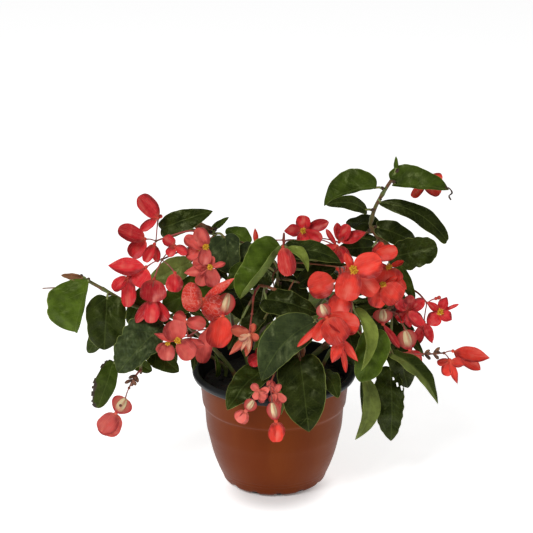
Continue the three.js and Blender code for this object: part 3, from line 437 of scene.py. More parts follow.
def part(points, tris, quads, tone, place=None, skin=0):
    # one closed body: its points, its faces, its tone, its place on the tissue and the skin that it wears
    points = np.asarray(points, float)
    colour = shares(tone) if isinstance(tone, str) else np.asarray(tone)
    return {
        "points": points,
        "tris": np.asarray(tris, int).reshape(-1, 3),
        "quads": np.asarray(quads, int).reshape(-1, 4),
        "place": np.zeros_like(points) if place is None else place,
        "tone": np.broadcast_to(colour, points.shape),
        "shadeAndSheen": np.full(len(points), 0.5),
        "triSkins": np.full(len(tris), skin),
        "quadSkins": np.full(len(quads), skin),
    }


def unit(vector):
    # the same direction, with a length of one
    vector = np.asarray(vector, float)
    return vector / np.linalg.norm(vector, axis=-1, keepdims=True)


def lengthsAlong(path):
    # how far each point of a path lies from its start
    return np.concatenate([[0], np.cumsum(np.linalg.norm(np.diff(path, axis=0), axis=1))])


def evenTurns(count):
    # angles spread evenly over a full turn
    return np.linspace(0, 2 * np.pi, count, endpoint=False)


def smoothPath(points, count):
    # a curve through the points that keeps to their spacing, then even steps along its length
    points = np.asarray(points, float)
    ends = np.vstack([2 * points[0] - points[1], points, 2 * points[-1] - points[-2]])
    t = np.linspace(0, 1, 25)[:, None]
    runs = []
    for k in range(len(points) - 1):
        before, start, stop, after = ends[k:k + 4]
        g0 = max(np.linalg.norm(start - before) ** 0.5, 1e-4)
        g1 = max(np.linalg.norm(stop - start) ** 0.5, 1e-4)
        g2 = max(np.linalg.norm(after - stop) ** 0.5, 1e-4)
        lead = ((start - before) / g0 - (stop - before) / (g0 + g1) + (stop - start) / g1) * g1
        trail = ((stop - start) / g1 - (after - start) / (g1 + g2) + (after - stop) / g2) * g1
        run = (2 * t**3 - 3 * t**2 + 1) * start + (t**3 - 2 * t**2 + t) * lead
        run += (3 * t**2 - 2 * t**3) * stop + (t**3 - t**2) * trail
        runs.append(run if k == len(points) - 2 else run[:-1])
    fine = np.vstack(runs)
    lengths = lengthsAlong(fine)
    marks = np.linspace(0, lengths[-1], count)
    return np.stack([np.interp(marks, lengths, fine[:, axis]) for axis in range(3)], axis=1)


def ringQuads(grid, flipped):
    # faces between each ring of a grid and the next one
    nextOne = np.roll(grid, -1, axis=1)
    corners = [grid[:-1], grid[1:], nextOne[1:], nextOne[:-1]]
    if flipped:
        corners = [corners[k] for k in (0, 3, 2, 1)]
    return np.stack(corners, axis=-1).reshape(-1, 4)


def ringFaces(count, sides, flipped=False):
    # faces of a body of rings between two end points: a fan at each end and quads between the rings
    grid = 1 + np.arange(count * sides).reshape(count, sides)
    nextOne = np.roll(grid, -1, axis=1)
    top = np.stack([np.zeros(sides, int), grid[0], nextOne[0]], axis=-1)
    bottom = np.stack([np.full(sides, 1 + grid.size), nextOne[-1], grid[-1]], axis=-1)
    tris = np.vstack([top, bottom])
    if flipped:
        tris = tris[:, [0, 2, 1]]
    return tris, ringQuads(grid, flipped)


def hollowBody(points, flipped=False):
    # a body of rings whose last ring joins the first one
    grid = np.arange(points[..., 0].size).reshape(points.shape[:2])
    return part(points.reshape(-1, 3), [], ringQuads(np.vstack([grid, grid[:1]]), flipped), "#ffffff")


def tube(path, radii, sides, tone, skin=0):
    # rings round a path, turned as little as possible, with a point at each end
    path = np.asarray(path, float)
    along = unit(np.gradient(path, axis=0))
    normal = unit(np.cross(along[0], [0.31, 0.22, 0.93]))
    normals = []
    for direction in along:
        normal = unit(normal - direction * normal.dot(direction))
        normals.append(normal)
    normals = np.array(normals)
    crossed = np.cross(along, normals)
    turns = evenTurns(sides)[None, :, None]
    rings = np.cos(turns) * normals[:, None] + np.sin(turns) * crossed[:, None]
    radii = np.broadcast_to(radii, len(path))
    rings = path[:, None] + rings * radii[:, None, None]
    points = np.vstack([path[:1], rings.reshape(-1, 3), path[-1:]])
    steps = lengthsAlong(path)
    place = np.zeros_like(points)
    place[1:-1, 0] = np.repeat(steps, sides)
    place[-1, 0] = steps[-1]
    return part(points, *ringFaces(len(path), sides, True), tone, place, skin)


def ball(centre, radius, tone, rows=8, sides=12, skin=0):
    # a rounded body: rings of latitude between two poles
    turn = np.linspace(0, np.pi, rows + 1)[1:-1]
    spin = evenTurns(sides)
    ring = np.stack([
        np.sin(turn)[:, None] * np.cos(spin),
        np.sin(turn)[:, None] * np.sin(spin),
        np.repeat(np.cos(turn)[:, None], sides, axis=1),
    ], axis=-1).reshape(-1, 3)
    points = np.vstack([[0, 0, 1], ring, [0, 0, -1]]) * radius + centre
    return part(points, *ringFaces(rows - 1, sides), tone, None, skin)


def listed(grid):
    # a grid's points in a row, with one point for the whole first row and one for the last
    return np.vstack([grid[0, :1], grid[1:-1].reshape(-1, grid.shape[-1]), grid[-1, :1]])


def closeSheet(top, under, place, tone, keep, skins):
    # a thin body from two grids whose first and last rows are one point each, open where keep is false
    rows, columns = top.shape[0] - 1, top.shape[1] - 1
    middle = 1 + np.arange((rows - 1) * (columns + 1)).reshape(rows - 1, columns + 1)
    last = 1 + middle.size
    quads = np.stack([middle[:-1, :-1], middle[1:, :-1], middle[1:, 1:], middle[:-1, 1:]], axis=-1)
    if keep is not None:
        quads = quads[keep]
    quads = quads.reshape(-1, 4)
    first = np.stack([np.zeros(columns, int), middle[0, :-1], middle[0, 1:]], axis=-1)
    end = np.stack([middle[-1, :-1], np.full(columns, last), middle[-1, 1:]], axis=-1)
    tris = np.vstack([first, end])
    edges = np.vstack([
        *(quads[:, [k, (k + 1) % 4]] for k in range(4)),
        *(tris[:, [k, (k + 1) % 3]] for k in range(3)),
    ])
    total = last + 1
    single = ~np.isin(edges[:, 1] * total + edges[:, 0], edges[:, 0] * total + edges[:, 1])
    a, b = edges[single].T
    walls = np.stack([b, a, a + total, b + total], axis=-1)
    spots = listed(place)
    made = part(
        np.vstack([listed(top), listed(under)]),
        np.vstack([tris, tris[:, ::-1] + total]),
        np.vstack([quads, quads[:, ::-1] + total, walls]),
        tone if isinstance(tone, str) else np.vstack([listed(tone), listed(tone)]),
        np.vstack([spots, spots]),
    )
    made["triSkins"] = np.repeat(skins, len(tris))
    made["quadSkins"] = np.repeat([skins[0], skins[1], skins[1]], [len(quads), len(quads), len(walls)])
    return made


def marginCurve(look, length, half, share, u):
    # one side of a blade: a cubic curve from base to tip with a lobe behind the base on the broad side
    lobe = look.get("lobe", 0.12) + 0.4 * (share - 0.5)
    shapes = {
        "leaf": (-lobe, 1.25, look.get("blunt", 0.62), 1.38),
        "broad": (0.02, 1.25, 1.04, 1.45),
        "narrow": (0.25, 1.2, 0.85, 1.45),
        "pointed": (0.3, 1.3, 0.62, 1.15),
    }
    x1, y1, x2, y2 = shapes[look["kind"]]
    x = 3 * (1 - u) ** 2 * u * x1 * length + 3 * (1 - u) * u**2 * x2 * length + u**3 * length
    y = 3 * (1 - u) ** 2 * u * y1 * half + 3 * (1 - u) * u**2 * y2 * half
    return x, y


def bladeFrame(base, tip, face):
    # the way along a blade, the way that it faces and the way to its left
    along = unit(tip - base)
    normal = np.asarray(face, float)
    normal = unit(normal - along * normal.dot(along))
    return along, normal, np.cross(normal, along)


def roughField(x, y):
    # waves 4.5 to 12.5 mm long, of chance direction and phase, which add up to an irregular relief
    total = 0
    for turned, step, phase in dice.random((7, 3)):
        wavy = x * math.cos(6.28 * turned) + y * math.sin(6.28 * turned)
        total = total + np.sin(2 * np.pi * wavy / (4.5 + 8 * step) + 6.28 * phase)
    return total / 2.2


def bladeSheet(base, tip, face, look, tone, skins):
    # rows across the blade from the right margin over the midrib to the left; u runs to the tip, v across.
    # The midrib bends sideways, bows and curls, and each half is turned up from it by its own angle.
    # Height is the bow along it, waves at the rim and the swell between the veins.
    along, normal, side = bladeFrame(base, tip, face)
    length = np.linalg.norm(tip - base)
    rows, columns = look["rows"], look["columns"]
    u = np.linspace(0, 1, rows + 1)[:, None]
    v = np.linspace(-1, 1, columns + 1)[None, :]
    v = np.sign(v) * np.abs(v) ** 0.85
    share = np.abs(v)
    sides = [
        marginCurve(look, length, look["wide"] * width, width, u)
        for width in (1 - look["left"], look["left"])
    ]
    edgeX = np.where(v < 0, sides[0][0], sides[1][0])
    edgeY = np.where(v < 0, sides[0][1], sides[1][1])
    shift = look["shift"]
    notch = 1 + look["wave"] * np.cos(np.pi * look["steps"] * u)
    tooth = look["tooth"] * np.abs(((u * look["teeth"] + 0.3 * np.sign(v) + shift) % 1) - 0.35)
    notch = notch - tooth * share**6 * np.sin(np.pi * u) ** 0.5
    notch = notch + look.get("uneven", 0) * np.sin(u * 13 + shift * 20 + np.sign(v)) * u
    x = length * u**1.4 * (1 - share) + edgeX * share
    y = np.sign(v) * edgeY * share * notch
    way = x / length
    arch = 4 * way * (1 - way)
    fold = np.radians(np.where(v < 0, look["folds"][0], look["folds"][1]))
    turn = fold * np.sign(v) * (1 - np.exp(-np.abs(y)))
    ripple = look["wave"] * look["wide"] * 0.9 * np.sin(u * 9 + v * 2) * share**2
    ripple = ripple + look["ruffle"] * np.sin(u * 23 + v * 5 + shift * 6) * share**4
    lift = (look["bow"] + look.get("curl", 0) * (2 * way - 1)) * length * arch + ripple * np.sin(np.pi * u)
    lift = lift + np.abs(y) * np.sin(np.abs(turn))
    slid = x - leafLook["veinSlant"] * np.abs(y)
    swell = np.abs(((slid / leafLook["veinStep"]) % 1) - 0.5) * 2
    quilt = look["quilt"] * ((1 - swell**2) * np.minimum(1, np.abs(y) / 3) - 0.6 * np.exp(-(y / 1.1) ** 2))
    lift = lift + quilt * (1 - share**4) * np.sin(np.pi * u) ** 0.4
    if "billow" in look:
        lift = lift + look["billow"] * roughField(0.35 * x, 0.35 * y) * np.sin(np.pi * u) ** 0.5
    if "crease" in look:
        fan = np.sin(v * 5.5 + shift * 9 + 0.9 * np.sin(u * 4 + shift * 5))
        rumple = roughField(x, y)
        lift = lift + look["crease"] * (0.6 * fan + rumple) * np.sin(np.pi * u) ** 0.6
        lift = lift + math.tan(look["roll"]) * y
    thick = look["thick"] * (1 - 0.55 * share**5)
    half = thick / 2 + look["puff"] * np.sin(np.pi * u) * (1 - share**2)
    across = y * np.cos(turn) + look.get("bend", 0) * length * arch
    flat = base + x[..., None] * along + across[..., None] * side + lift[..., None] * normal
    skinWay = np.cos(turn)[..., None] * normal - np.sin(turn)[..., None] * side
    top = flat + half[..., None] * skinWay
    under = flat - half[..., None] * skinWay
    rim = np.maximum(share + 0 * u, np.abs(2 * u - 1) ** 6 + 0 * v)
    place = np.stack([x + 0 * v, y + 0 * u, rim], axis=-1)
    made = closeSheet(top, under, place, tone, look.get("keep"), skins)
    if "crease" in look:
        slope = v * math.cos(6 * shift) + (2 * u - 1) * math.sin(6 * shift)
        # painted shade and painted highlight on the tepal: a slant to one side, painted shade at the foot,
        # the rim and the fanned folds, and a painted sheen; the underside gets the reverse
        shadeAndSheen = 0.5 + 0.32 * slope + 0.3 * (1 - u) ** 2 - 0.1 * fan
        shadeAndSheen = shadeAndSheen - 0.06 * rumple * look["crease"] / flowerLook["crease"]
        sheen = np.exp(-((u - 0.62) / 0.22) ** 2 - ((v - 0.3 * np.sin(shift * 9)) / 0.5) ** 2)
        shadeAndSheen = shadeAndSheen - 0.24 * sheen + 0.3 * share**4
        middle = np.concatenate([shadeAndSheen[0, :1], shadeAndSheen[1:-1].ravel(), shadeAndSheen[-1, :1]])
        made["shadeAndSheen"] = np.clip(np.concatenate([middle, 1 - middle]), 0, 1)
    return made


# Plant tissue

tissue = {
    "leafThick": 0.5,       # mm
    "petalThick": 0.45,     # mm
    "petiole": 1.15,        # mm radius
    "pedicel": 0.6,         # mm radius
    "peduncle": 0.95,       # mm radius
    "upperShare": 0.7,      # a side shoot's radius against its cane's
    "rootHeights": (76, 88, 100, 110),  # mm: a cane stands upright in the soil from the first to the last
    "nodeStep": 27.0,       # mm between the swollen nodes of a cane
    "nodeWidth": 2.4,       # mm
    "nodeSwell": 0.28,
    "taper": 0.22,          # the share by which a cane thins towards its tip
    "dryTone": "#3e3022",
    "bites": (              # along the blade, across it, and the two half widths, as shares
        (0.2, 0.5, 0.05, 0.2), (0.3, 0.72, 0.03, 0.14), (0.27, 0.25, 0.02, 0.09), (0.4, 0.8, 0.03, 0.1),
        (0.36, 0.45, 0.03, 0.08),
    ),
}

dryScale = {                # a withered scale: the blade of a stipule or a bract
    "kind": "narrow",
    "left": 0.5,
    "wave": 0.05,
    "steps": 3,
    "tooth": 0,
    "teeth": 1,
    "quilt": 0,
    "puff": 0,
    "shift": 0.2,
    "rows": 8,
    "columns": 6,
}

leafTones = {
    "dark": "#212c0a",
    "deep": "#131b05",
    "mid": "#384a12",
    "fresh": "#4a6018",
    "light": "#8b9a45",
    "olive": "#6e7a3c",
    "grey": "#333f28",
    "blush": "#96604a",
}
petalTones = {
    "coral": "#e23a2a",
    "crimson": "#ca222a",
    "pink": "#dc5a52",
    "faded": "#de6a4e",
    "salmon": "#e0675c",
    "wine": "#a5141e",
    "bud": "#bf2c29",
    "cream": "#e8b08c",
}
stemTones = {
    "cane": "#5f6b33",
    "petiole": "#7d8a48",
    "flower": "#a8403a",
    "twig": "#8a4f2e",
    "dry": "#4b3423",
}


def leafPlan(tone, base, tip, depths, wide, **more):
    # a leaf by its tone, the column and row of its base and tip, their depths, and its width in pixels
    return {"tone": tone, "base": base, "tip": tip, "depths": depths, "wide": wide, **more}


def fillerLeaf(tone, base, tip, depths):
    # a young leaf deep in the plant, which closes a gap between the others
    return leafPlan(tone, base, tip, depths, 8, face=(0, -1, 0.3))


def flowerPlan(place, tips, **more):
    # a flower by its centre and its tepals, each with the column and row of its tip, its width in pixels,
    # how much deeper than the centre the tip lies, and its form where that isn't broad
    return {"at": place, "tips": tips, **more}


canes = [
    {
        "name": "cane_left",
        "root": (-38, -8),
        "radius": 2.3,
        "path": [(206, 341, -12), (170, 316, -18), (134, 306, -22), (107.6, 291.6, -26), (83, 278, -30)],
        "twigs": [
            (0.9, [(83, 278, -30), (63, 286.5, -32), (42.6, 288.4, -30)]),
            (0.8, [(140, 309, -21), (142, 322, -24), (139, 331, -26)]),
        ],
        "leaves": [
            leafPlan("fresh", (89, 280), (75, 332), (-34, -46), 39, left=0.12, lobe=-0.18, blunt=1.14,
                     face=(-0.2, -1, 0.4)),
            leafPlan("dark", (107, 297), (104, 350), (-30, -38), 41, lobe=0.26, blunt=0.86,
                     face=(0.1, -1, 0.3)),
            leafPlan("mid", (112, 318), (88, 353), (-8, -4), 19, blunt=0.85),
            leafPlan("mid", (152, 286), (128, 324), (-12, -18), 22, blunt=0.85, face=(0, -1, 0.5)),
            leafPlan("blush", (84, 279), (61, 275), (-28, -22), 11, left=0.7, folds=(40, 40),
                     face=(0, -1, 0.8)),
            fillerLeaf("dark", (171, 338), (177, 362), (-14, -18)),
            fillerLeaf("deep", (196, 352), (193, 371), (-22, -26)),
            leafPlan("grey", (163, 324), (118, 373), (-37, -57), 42, left=0.37, blunt=0.82, tooth=0.2,
                     face=(0, -1, 0.6)),
        ],
    },
    {
        "name": "cane_low_left",
        "root": (-48, 12),
        "radius": 2.0,
        "path": [(203, 352, 6), (172, 338, -2), (150, 341, -12), (142, 352, -18), (140.8, 374, -22)],
        "leaves": [
            leafPlan("mid", (113, 361), (97, 408), (-20, -26), 24, left=0.4, blunt=0.98, dry=-1,
                     face=(0.3, -1, 0.2)),
            leafPlan("dark", (147, 344), (179, 372), (-30, -40), 23, left=0.42, blunt=0.8,
                     face=(0, -1, 0.5)),
            leafPlan("mid", (128, 358), (152, 371), (-12, -10), 14, blunt=0.9),
            leafPlan("fresh", (217, 377), (214, 353), (-14, -18), 5, bend=-0.1, join=(212, 380, -12)),
        ],
    },
    {
        "name": "cane_back_left",
        "root": (-26, 26),
        "radius": 2.2,
        "path": [(234, 330, 36), (228, 285, 40), (219, 252, 40), (214, 234, 38)],
        "leaves": [
            leafPlan("dark", (161, 229), (213, 211), (24, 26), 25, left=0.45, lobe=0.2, blunt=0.62,
                     face=(0, -1, 0.6), rise=3),
            leafPlan("blush", (214, 231), (187, 219), (42, 44), 11, face=(0, -1, -0.2)),
            leafPlan("mid", (212, 229), (229, 217), (44, 54), 7),
            leafPlan("olive", (191, 262), (149, 282), (16, 6), 25, blunt=0.85),
            leafPlan("grey", (225, 236), (232, 274), (26, 6), 36, left=0.42, lobe=0.3, blunt=0.8,
                     face=(-0.2, -1, 0.5)),
            leafPlan("fresh", (250, 243), (226, 229), (50, 62), 19, blunt=0.95, face=(0, -0.7, 1)),
            leafPlan("deep", (236, 292), (203, 302), (20, 8), 26, blunt=0.8, face=(-0.2, -0.7, 1)),
            leafPlan("deep", (234, 290), (248, 322), (44, 20), 32, blunt=0.85, face=(0.1, -0.6, 1)),
            leafPlan("mid", (212, 286), (162, 306), (14, 0), 38, left=0.55, blunt=0.85,
                     face=(-0.1, -1, 0.6)),
            leafPlan("grey", (251, 243), (238, 263), (22, 14), 17, blunt=0.85, face=(0.2, -1, 0.3)),
            leafPlan("mid", (246, 264), (228, 289), (6, -6), 18, blunt=0.8, face=(-0.2, -1, 0.4)),
            fillerLeaf("deep", (159, 318), (177, 325), (-6, -10)),
            fillerLeaf("dark", (190, 309), (207, 317), (-8, -12)),
            fillerLeaf("dark", (199, 318), (213, 330), (-6, -10)),
            fillerLeaf("deep", (184, 328), (200, 338), (-4, -8)),
            fillerLeaf("deep", (216, 266), (229, 281), (18, 12)),
            fillerLeaf("deep", (180, 308), (193, 321), (0, -4)),
        ],
    },
    {
        "name": "cane_tall",
        "root": (6, 14),
        "radius": 2.2,
        "path": [(278, 330, 16), (277, 290, 14), (280, 262, 10), (284, 247, 4)],
        "twigs": [
            (0.9, [(279.4, 268, 11), (273, 275, 2), (274.4, 289, -6)]),
            (1.0, [(280, 262, 10), (308, 263.5, -3), (339, 267, -24)]),
        ],
        "leaves": [
            leafPlan("fresh", (281, 247), (240, 299), (-10, -34), 37, left=0.26, lobe=0.2, blunt=0.9,
                     bend=0.06, folds=(4, 128), face=(0, -1, 0.5)),
            leafPlan("dark", (285, 247), (341, 263), (-2, -14), 25, blunt=0.7, curl=0.12,
                     face=(0, -0.7, 1)),
            leafPlan("light", (287, 249), (308, 272), (-12, -22), 13, left=0.6, bend=0.16, folds=(55, 20),
                     face=(0, -1, 0.6)),
            leafPlan("dark", (262, 266), (240, 245), (26, 36), 21, blunt=0.85, face=(0, -0.8, 1)),
            leafPlan("deep", (283, 277), (300, 316), (30, 14), 36, blunt=0.85, face=(0.1, -0.6, 1)),
            leafPlan("deep", (270, 290), (262, 320), (24, 6), 28, blunt=0.85, face=(-0.2, -0.7, 1)),
            leafPlan("deep", (298, 284), (336, 268), (4, 0), 22, blunt=0.85, face=(0, -1, 1)),
            leafPlan("deep", (270, 258), (256, 292), (32, 22), 28, blunt=0.85, face=(-0.1, -1, 0.4)),
            leafPlan("deep", (288, 256), (322, 282), (30, 18), 28, blunt=0.85, face=(0.2, -1, 0.5)),
            fillerLeaf("dark", (316, 261), (348, 265), (14, 10)),
            fillerLeaf("deep", (326, 274), (340, 280), (12, 8)),
            fillerLeaf("deep", (283, 262), (281, 281), (14, 10)),
            fillerLeaf("dark", (279, 284), (270, 303), (12, 8)),
            fillerLeaf("deep", (276, 306), (268, 325), (10, 6)),
        ],
    },
    {
        "name": "cane_centre",
        "root": (26, -8),
        "radius": 2.1,
        "path": [(304, 330, -14), (300.5, 304.3, -18), (285, 295.4, -20), (273, 289, -20),
                 (259.7, 285, -18)],
        "bark": "twig",
        "twigs": [
            (1.1, [(300.5, 304.3, -18), (308, 307, -22), (316, 308, -28)]),
            (1.1, [(287, 296.5, -20), (290, 288, -22), (294, 280.5, -24)]),
        ],
        "leaves": [
            leafPlan("deep", (264, 299), (318, 314), (-24, -36), 30, left=0.45, lobe=0.25, blunt=0.75,
                     face=(0, -0.8, 0.8)),
            leafPlan("dark", (268, 334), (262, 303), (-10, -8), 16),
            leafPlan("deep", (262, 304), (244, 336), (-6, -18), 24, blunt=0.8, face=(-0.2, -1, 0.5)),
            fillerLeaf("dark", (262, 322), (253, 342), (-14, -18)),
            fillerLeaf("deep", (237, 330), (228, 350), (-10, -14)),
        ],
    },
    {
        "name": "cane_front",
        "root": (10, -40),
        "radius": 2.0,
        "path": [(290, 352, -48), (302, 338, -52), (318, 319, -50)],
        "leaves": [
            leafPlan("grey", (315, 322), (261.4, 381), (-58, -84), 41, left=0.42, blunt=0.72, bend=-0.09,
                     face=(0, -0.9, 0.8)),
            leafPlan("mid", (286, 325), (253, 350), (-36, -40), 21, blunt=0.75, dry=-1,
                     face=(0, -0.6, 1)),
            leafPlan("deep", (300, 359), (309, 432), (-66, -97), 48, left=0.48, lobe=0.3, blunt=0.74,
                     face=(0, -1, 0.25)),
            leafPlan("olive", (292, 362), (281, 415), (-60, -88), 16, face=(-0.5, -1, 0.2)),
            leafPlan("dark", (322, 370), (338, 398), (-56, -84), 20, blunt=0.8, face=(0.4, -1, 0.4)),
            leafPlan("dark", (264, 368), (227, 410), (-52, -94), 31, blunt=0.76, face=(-0.2, -0.8, 1)),
        ],
    },
    {
        "name": "cane_right",
        "root": (44, -6),
        "radius": 2.2,
        "path": [(330, 352, -8), (350, 330, -10), (372, 318, -10), (392, 306, -8), (405, 290, -4)],
        "leaves": [
            leafPlan("light", (355, 309), (361, 371), (-40, -62), 20, left=0.6, bend=0.12, folds=(50, 10),
                     face=(0.4, -1, 0.2)),
            leafPlan("fresh", (374, 330), (360, 382), (-36, -50), 34, left=0.58, lobe=0.25, blunt=0.88,
                     face=(0.2, -1, 0.4)),
            leafPlan("olive", (366, 379), (355, 440), (-24, -36), 19, left=0.55, blunt=0.74, bend=0.12,
                     face=(0.3, -1, 0.1), join=(380, 314, -9)),
            leafPlan("grey", (362, 380), (363, 417), (-16, -22), 5, join=(372, 318, -10)),
            leafPlan("dark", (390, 367), (391, 441), (-8, -22), 32, left=0.42, blunt=0.78, tooth=0.2,
                     holes=True, face=(0.1, -1, 0.2), join=(392, 306, -8)),
            leafPlan("dark", (391, 353), (438, 404), (-40, -56), 20, left=0.5, bend=0.08, blunt=0.66,
                     other="olive", face=(0.3, -0.7, 1)),
            leafPlan("mid", (401, 266), (415, 299), (-4, -12), 13, left=0.32, blunt=0.8),
            leafPlan("grey", (369, 321), (386, 342), (-20, -24), 20, blunt=0.9),
            leafPlan("deep", (388, 306), (346, 316), (8, -2), 26, blunt=0.85, face=(0, -0.8, 0.8)),
            leafPlan("deep", (390, 322), (408, 388), (2, -6), 30, blunt=0.85, join=(372, 318, -10)),
            leafPlan("deep", (348, 331), (356, 366), (6, -2), 26, blunt=0.85, face=(0.1, -1, 0.4)),
            fillerLeaf("deep", (349, 299), (367, 301), (4, 0)),
            fillerLeaf("deep", (391, 312), (398, 325), (2, -2)),
            fillerLeaf("dark", (401, 321), (415, 331), (2, -2)),
            fillerLeaf("dark", (411, 337), (424, 357), (-8, -12)),
        ],
    },
    {
        "name": "cane_upper_right",
        "root": (32, 22),
        "radius": 3.3,
        "path": [(352, 322, 44), (386, 278, 56), (391, 250, 58), (378, 237, 58), (370, 225, 58)],
        "upper": [(370, 225, 58), (375, 208, 58), (385, 190, 56), (395, 175, 54)],
        "withered": [[(445, 187, 41), (450, 189, 38), (452, 193, 36), (449, 196, 35), (451, 200, 34)]],
        "leaves": [
            leafPlan("mid", (376, 188), (324, 206), (50, 62), 25, left=0.12, blunt=0.8, bend=-0.08,
                     face=(0, -1, 0.7)),
            leafPlan("dark", (367, 211), (326, 205), (52, 40), 15, left=0.5, bend=-0.11, blunt=0.8,
                     face=(0, -1, 0.5)),
            leafPlan("mid", (393, 184), (449, 190), (50, 42), 24, left=0.84, lobe=0.3, blunt=0.7,
                     dryTip=True, face=(0, -1, 0.6)),
            leafPlan("deep", (379, 203), (447, 241), (48, 30), 21, left=0.5, lobe=-0.05, blunt=1.1,
                     bend=0.085, face=(0.2, -1, 0.8)),
            leafPlan("deep", (377, 227), (416, 243), (56, 62), 23, left=0.5, lobe=0.25, blunt=0.85,
                     face=(0, -1, 0.6)),
            leafPlan("dark", (389, 258), (437, 246), (44, 26), 34, left=0.46, blunt=1.08, tooth=0.2,
                     face=(0.1, -1, 0.4)),
            leafPlan("deep", (380, 229), (346, 222), (66, 84), 23, blunt=0.85, face=(0, -0.8, 1)),
            leafPlan("deep", (374, 247), (337, 249), (52, 42), 20, blunt=0.8),
            leafPlan("fresh", (396, 170), (396, 156), (54, 56), 5),
            fillerLeaf("deep", (361, 236), (379, 240), (64, 66)),
            leafPlan("deep", (382, 280), (334, 297), (40, 34), 36, blunt=0.85, face=(-0.3, -0.6, 1)),
            leafPlan("deep", (386, 290), (404, 318), (40, 34), 26, blunt=0.8, face=(0.3, -0.8, 1)),
        ],
    },
    {
        "name": "cane_rear_left",
        "root": (-14, 46),
        "radius": 2.1,
        "path": [(256, 330, 62), (246, 300, 74), (232, 285, 86)],
        "leaves": [
            leafPlan("dark", (232, 284), (206, 322), (96, 118), 36, left=0.4, blunt=0.8,
                     face=(-0.4, 1, 0.7)),
            leafPlan("mid", (250, 290), (262, 330), (96, 124), 40, left=0.6, lobe=0.3, blunt=0.85,
                     face=(0, 1, 0.7)),
            leafPlan("deep", (224, 290), (187, 321), (66, 52), 32, blunt=0.8, face=(-0.7, 0.1, 1)),
            leafPlan("mid", (246, 276), (232, 262), (80, 104), 26, blunt=0.8, face=(0, 0.3, 1)),
            leafPlan("dark", (244, 312), (216, 352), (78, 100), 30, bend=0.06, blunt=0.8,
                     face=(-0.5, 1, 0.5)),
        ],
    },
    {
        "name": "cane_rear_right",
        "root": (22, 46),
        "radius": 2.1,
        "path": [(306, 326, 58), (322, 300, 70), (342, 280, 80)],
        "leaves": [
            leafPlan("dark", (344, 278), (378, 300), (88, 112), 38, lobe=0.3, blunt=0.8,
                     face=(0.4, 1, 0.8)),
            leafPlan("mid", (322, 292), (318, 334), (90, 120), 42, left=0.45, lobe=0.3, blunt=0.85,
                     face=(0, 1, 0.6)),
            leafPlan("deep", (336, 276), (300, 262), (74, 96), 30, blunt=0.8, face=(0, 0.3, 1)),
            leafPlan("mid", (352, 290), (388, 322), (80, 88), 30, bend=-0.06, blunt=0.8,
                     face=(0.6, 0.3, 1)),
            leafPlan("dark", (300, 316), (288, 352), (84, 108), 32, blunt=0.8, face=(0, 1, 0.5)),
            leafPlan("fresh", (334, 308), (362, 352), (78, 96), 32, bend=0.06, blunt=0.8,
                     face=(0.5, 1, 0.4)),
        ],
    },
]


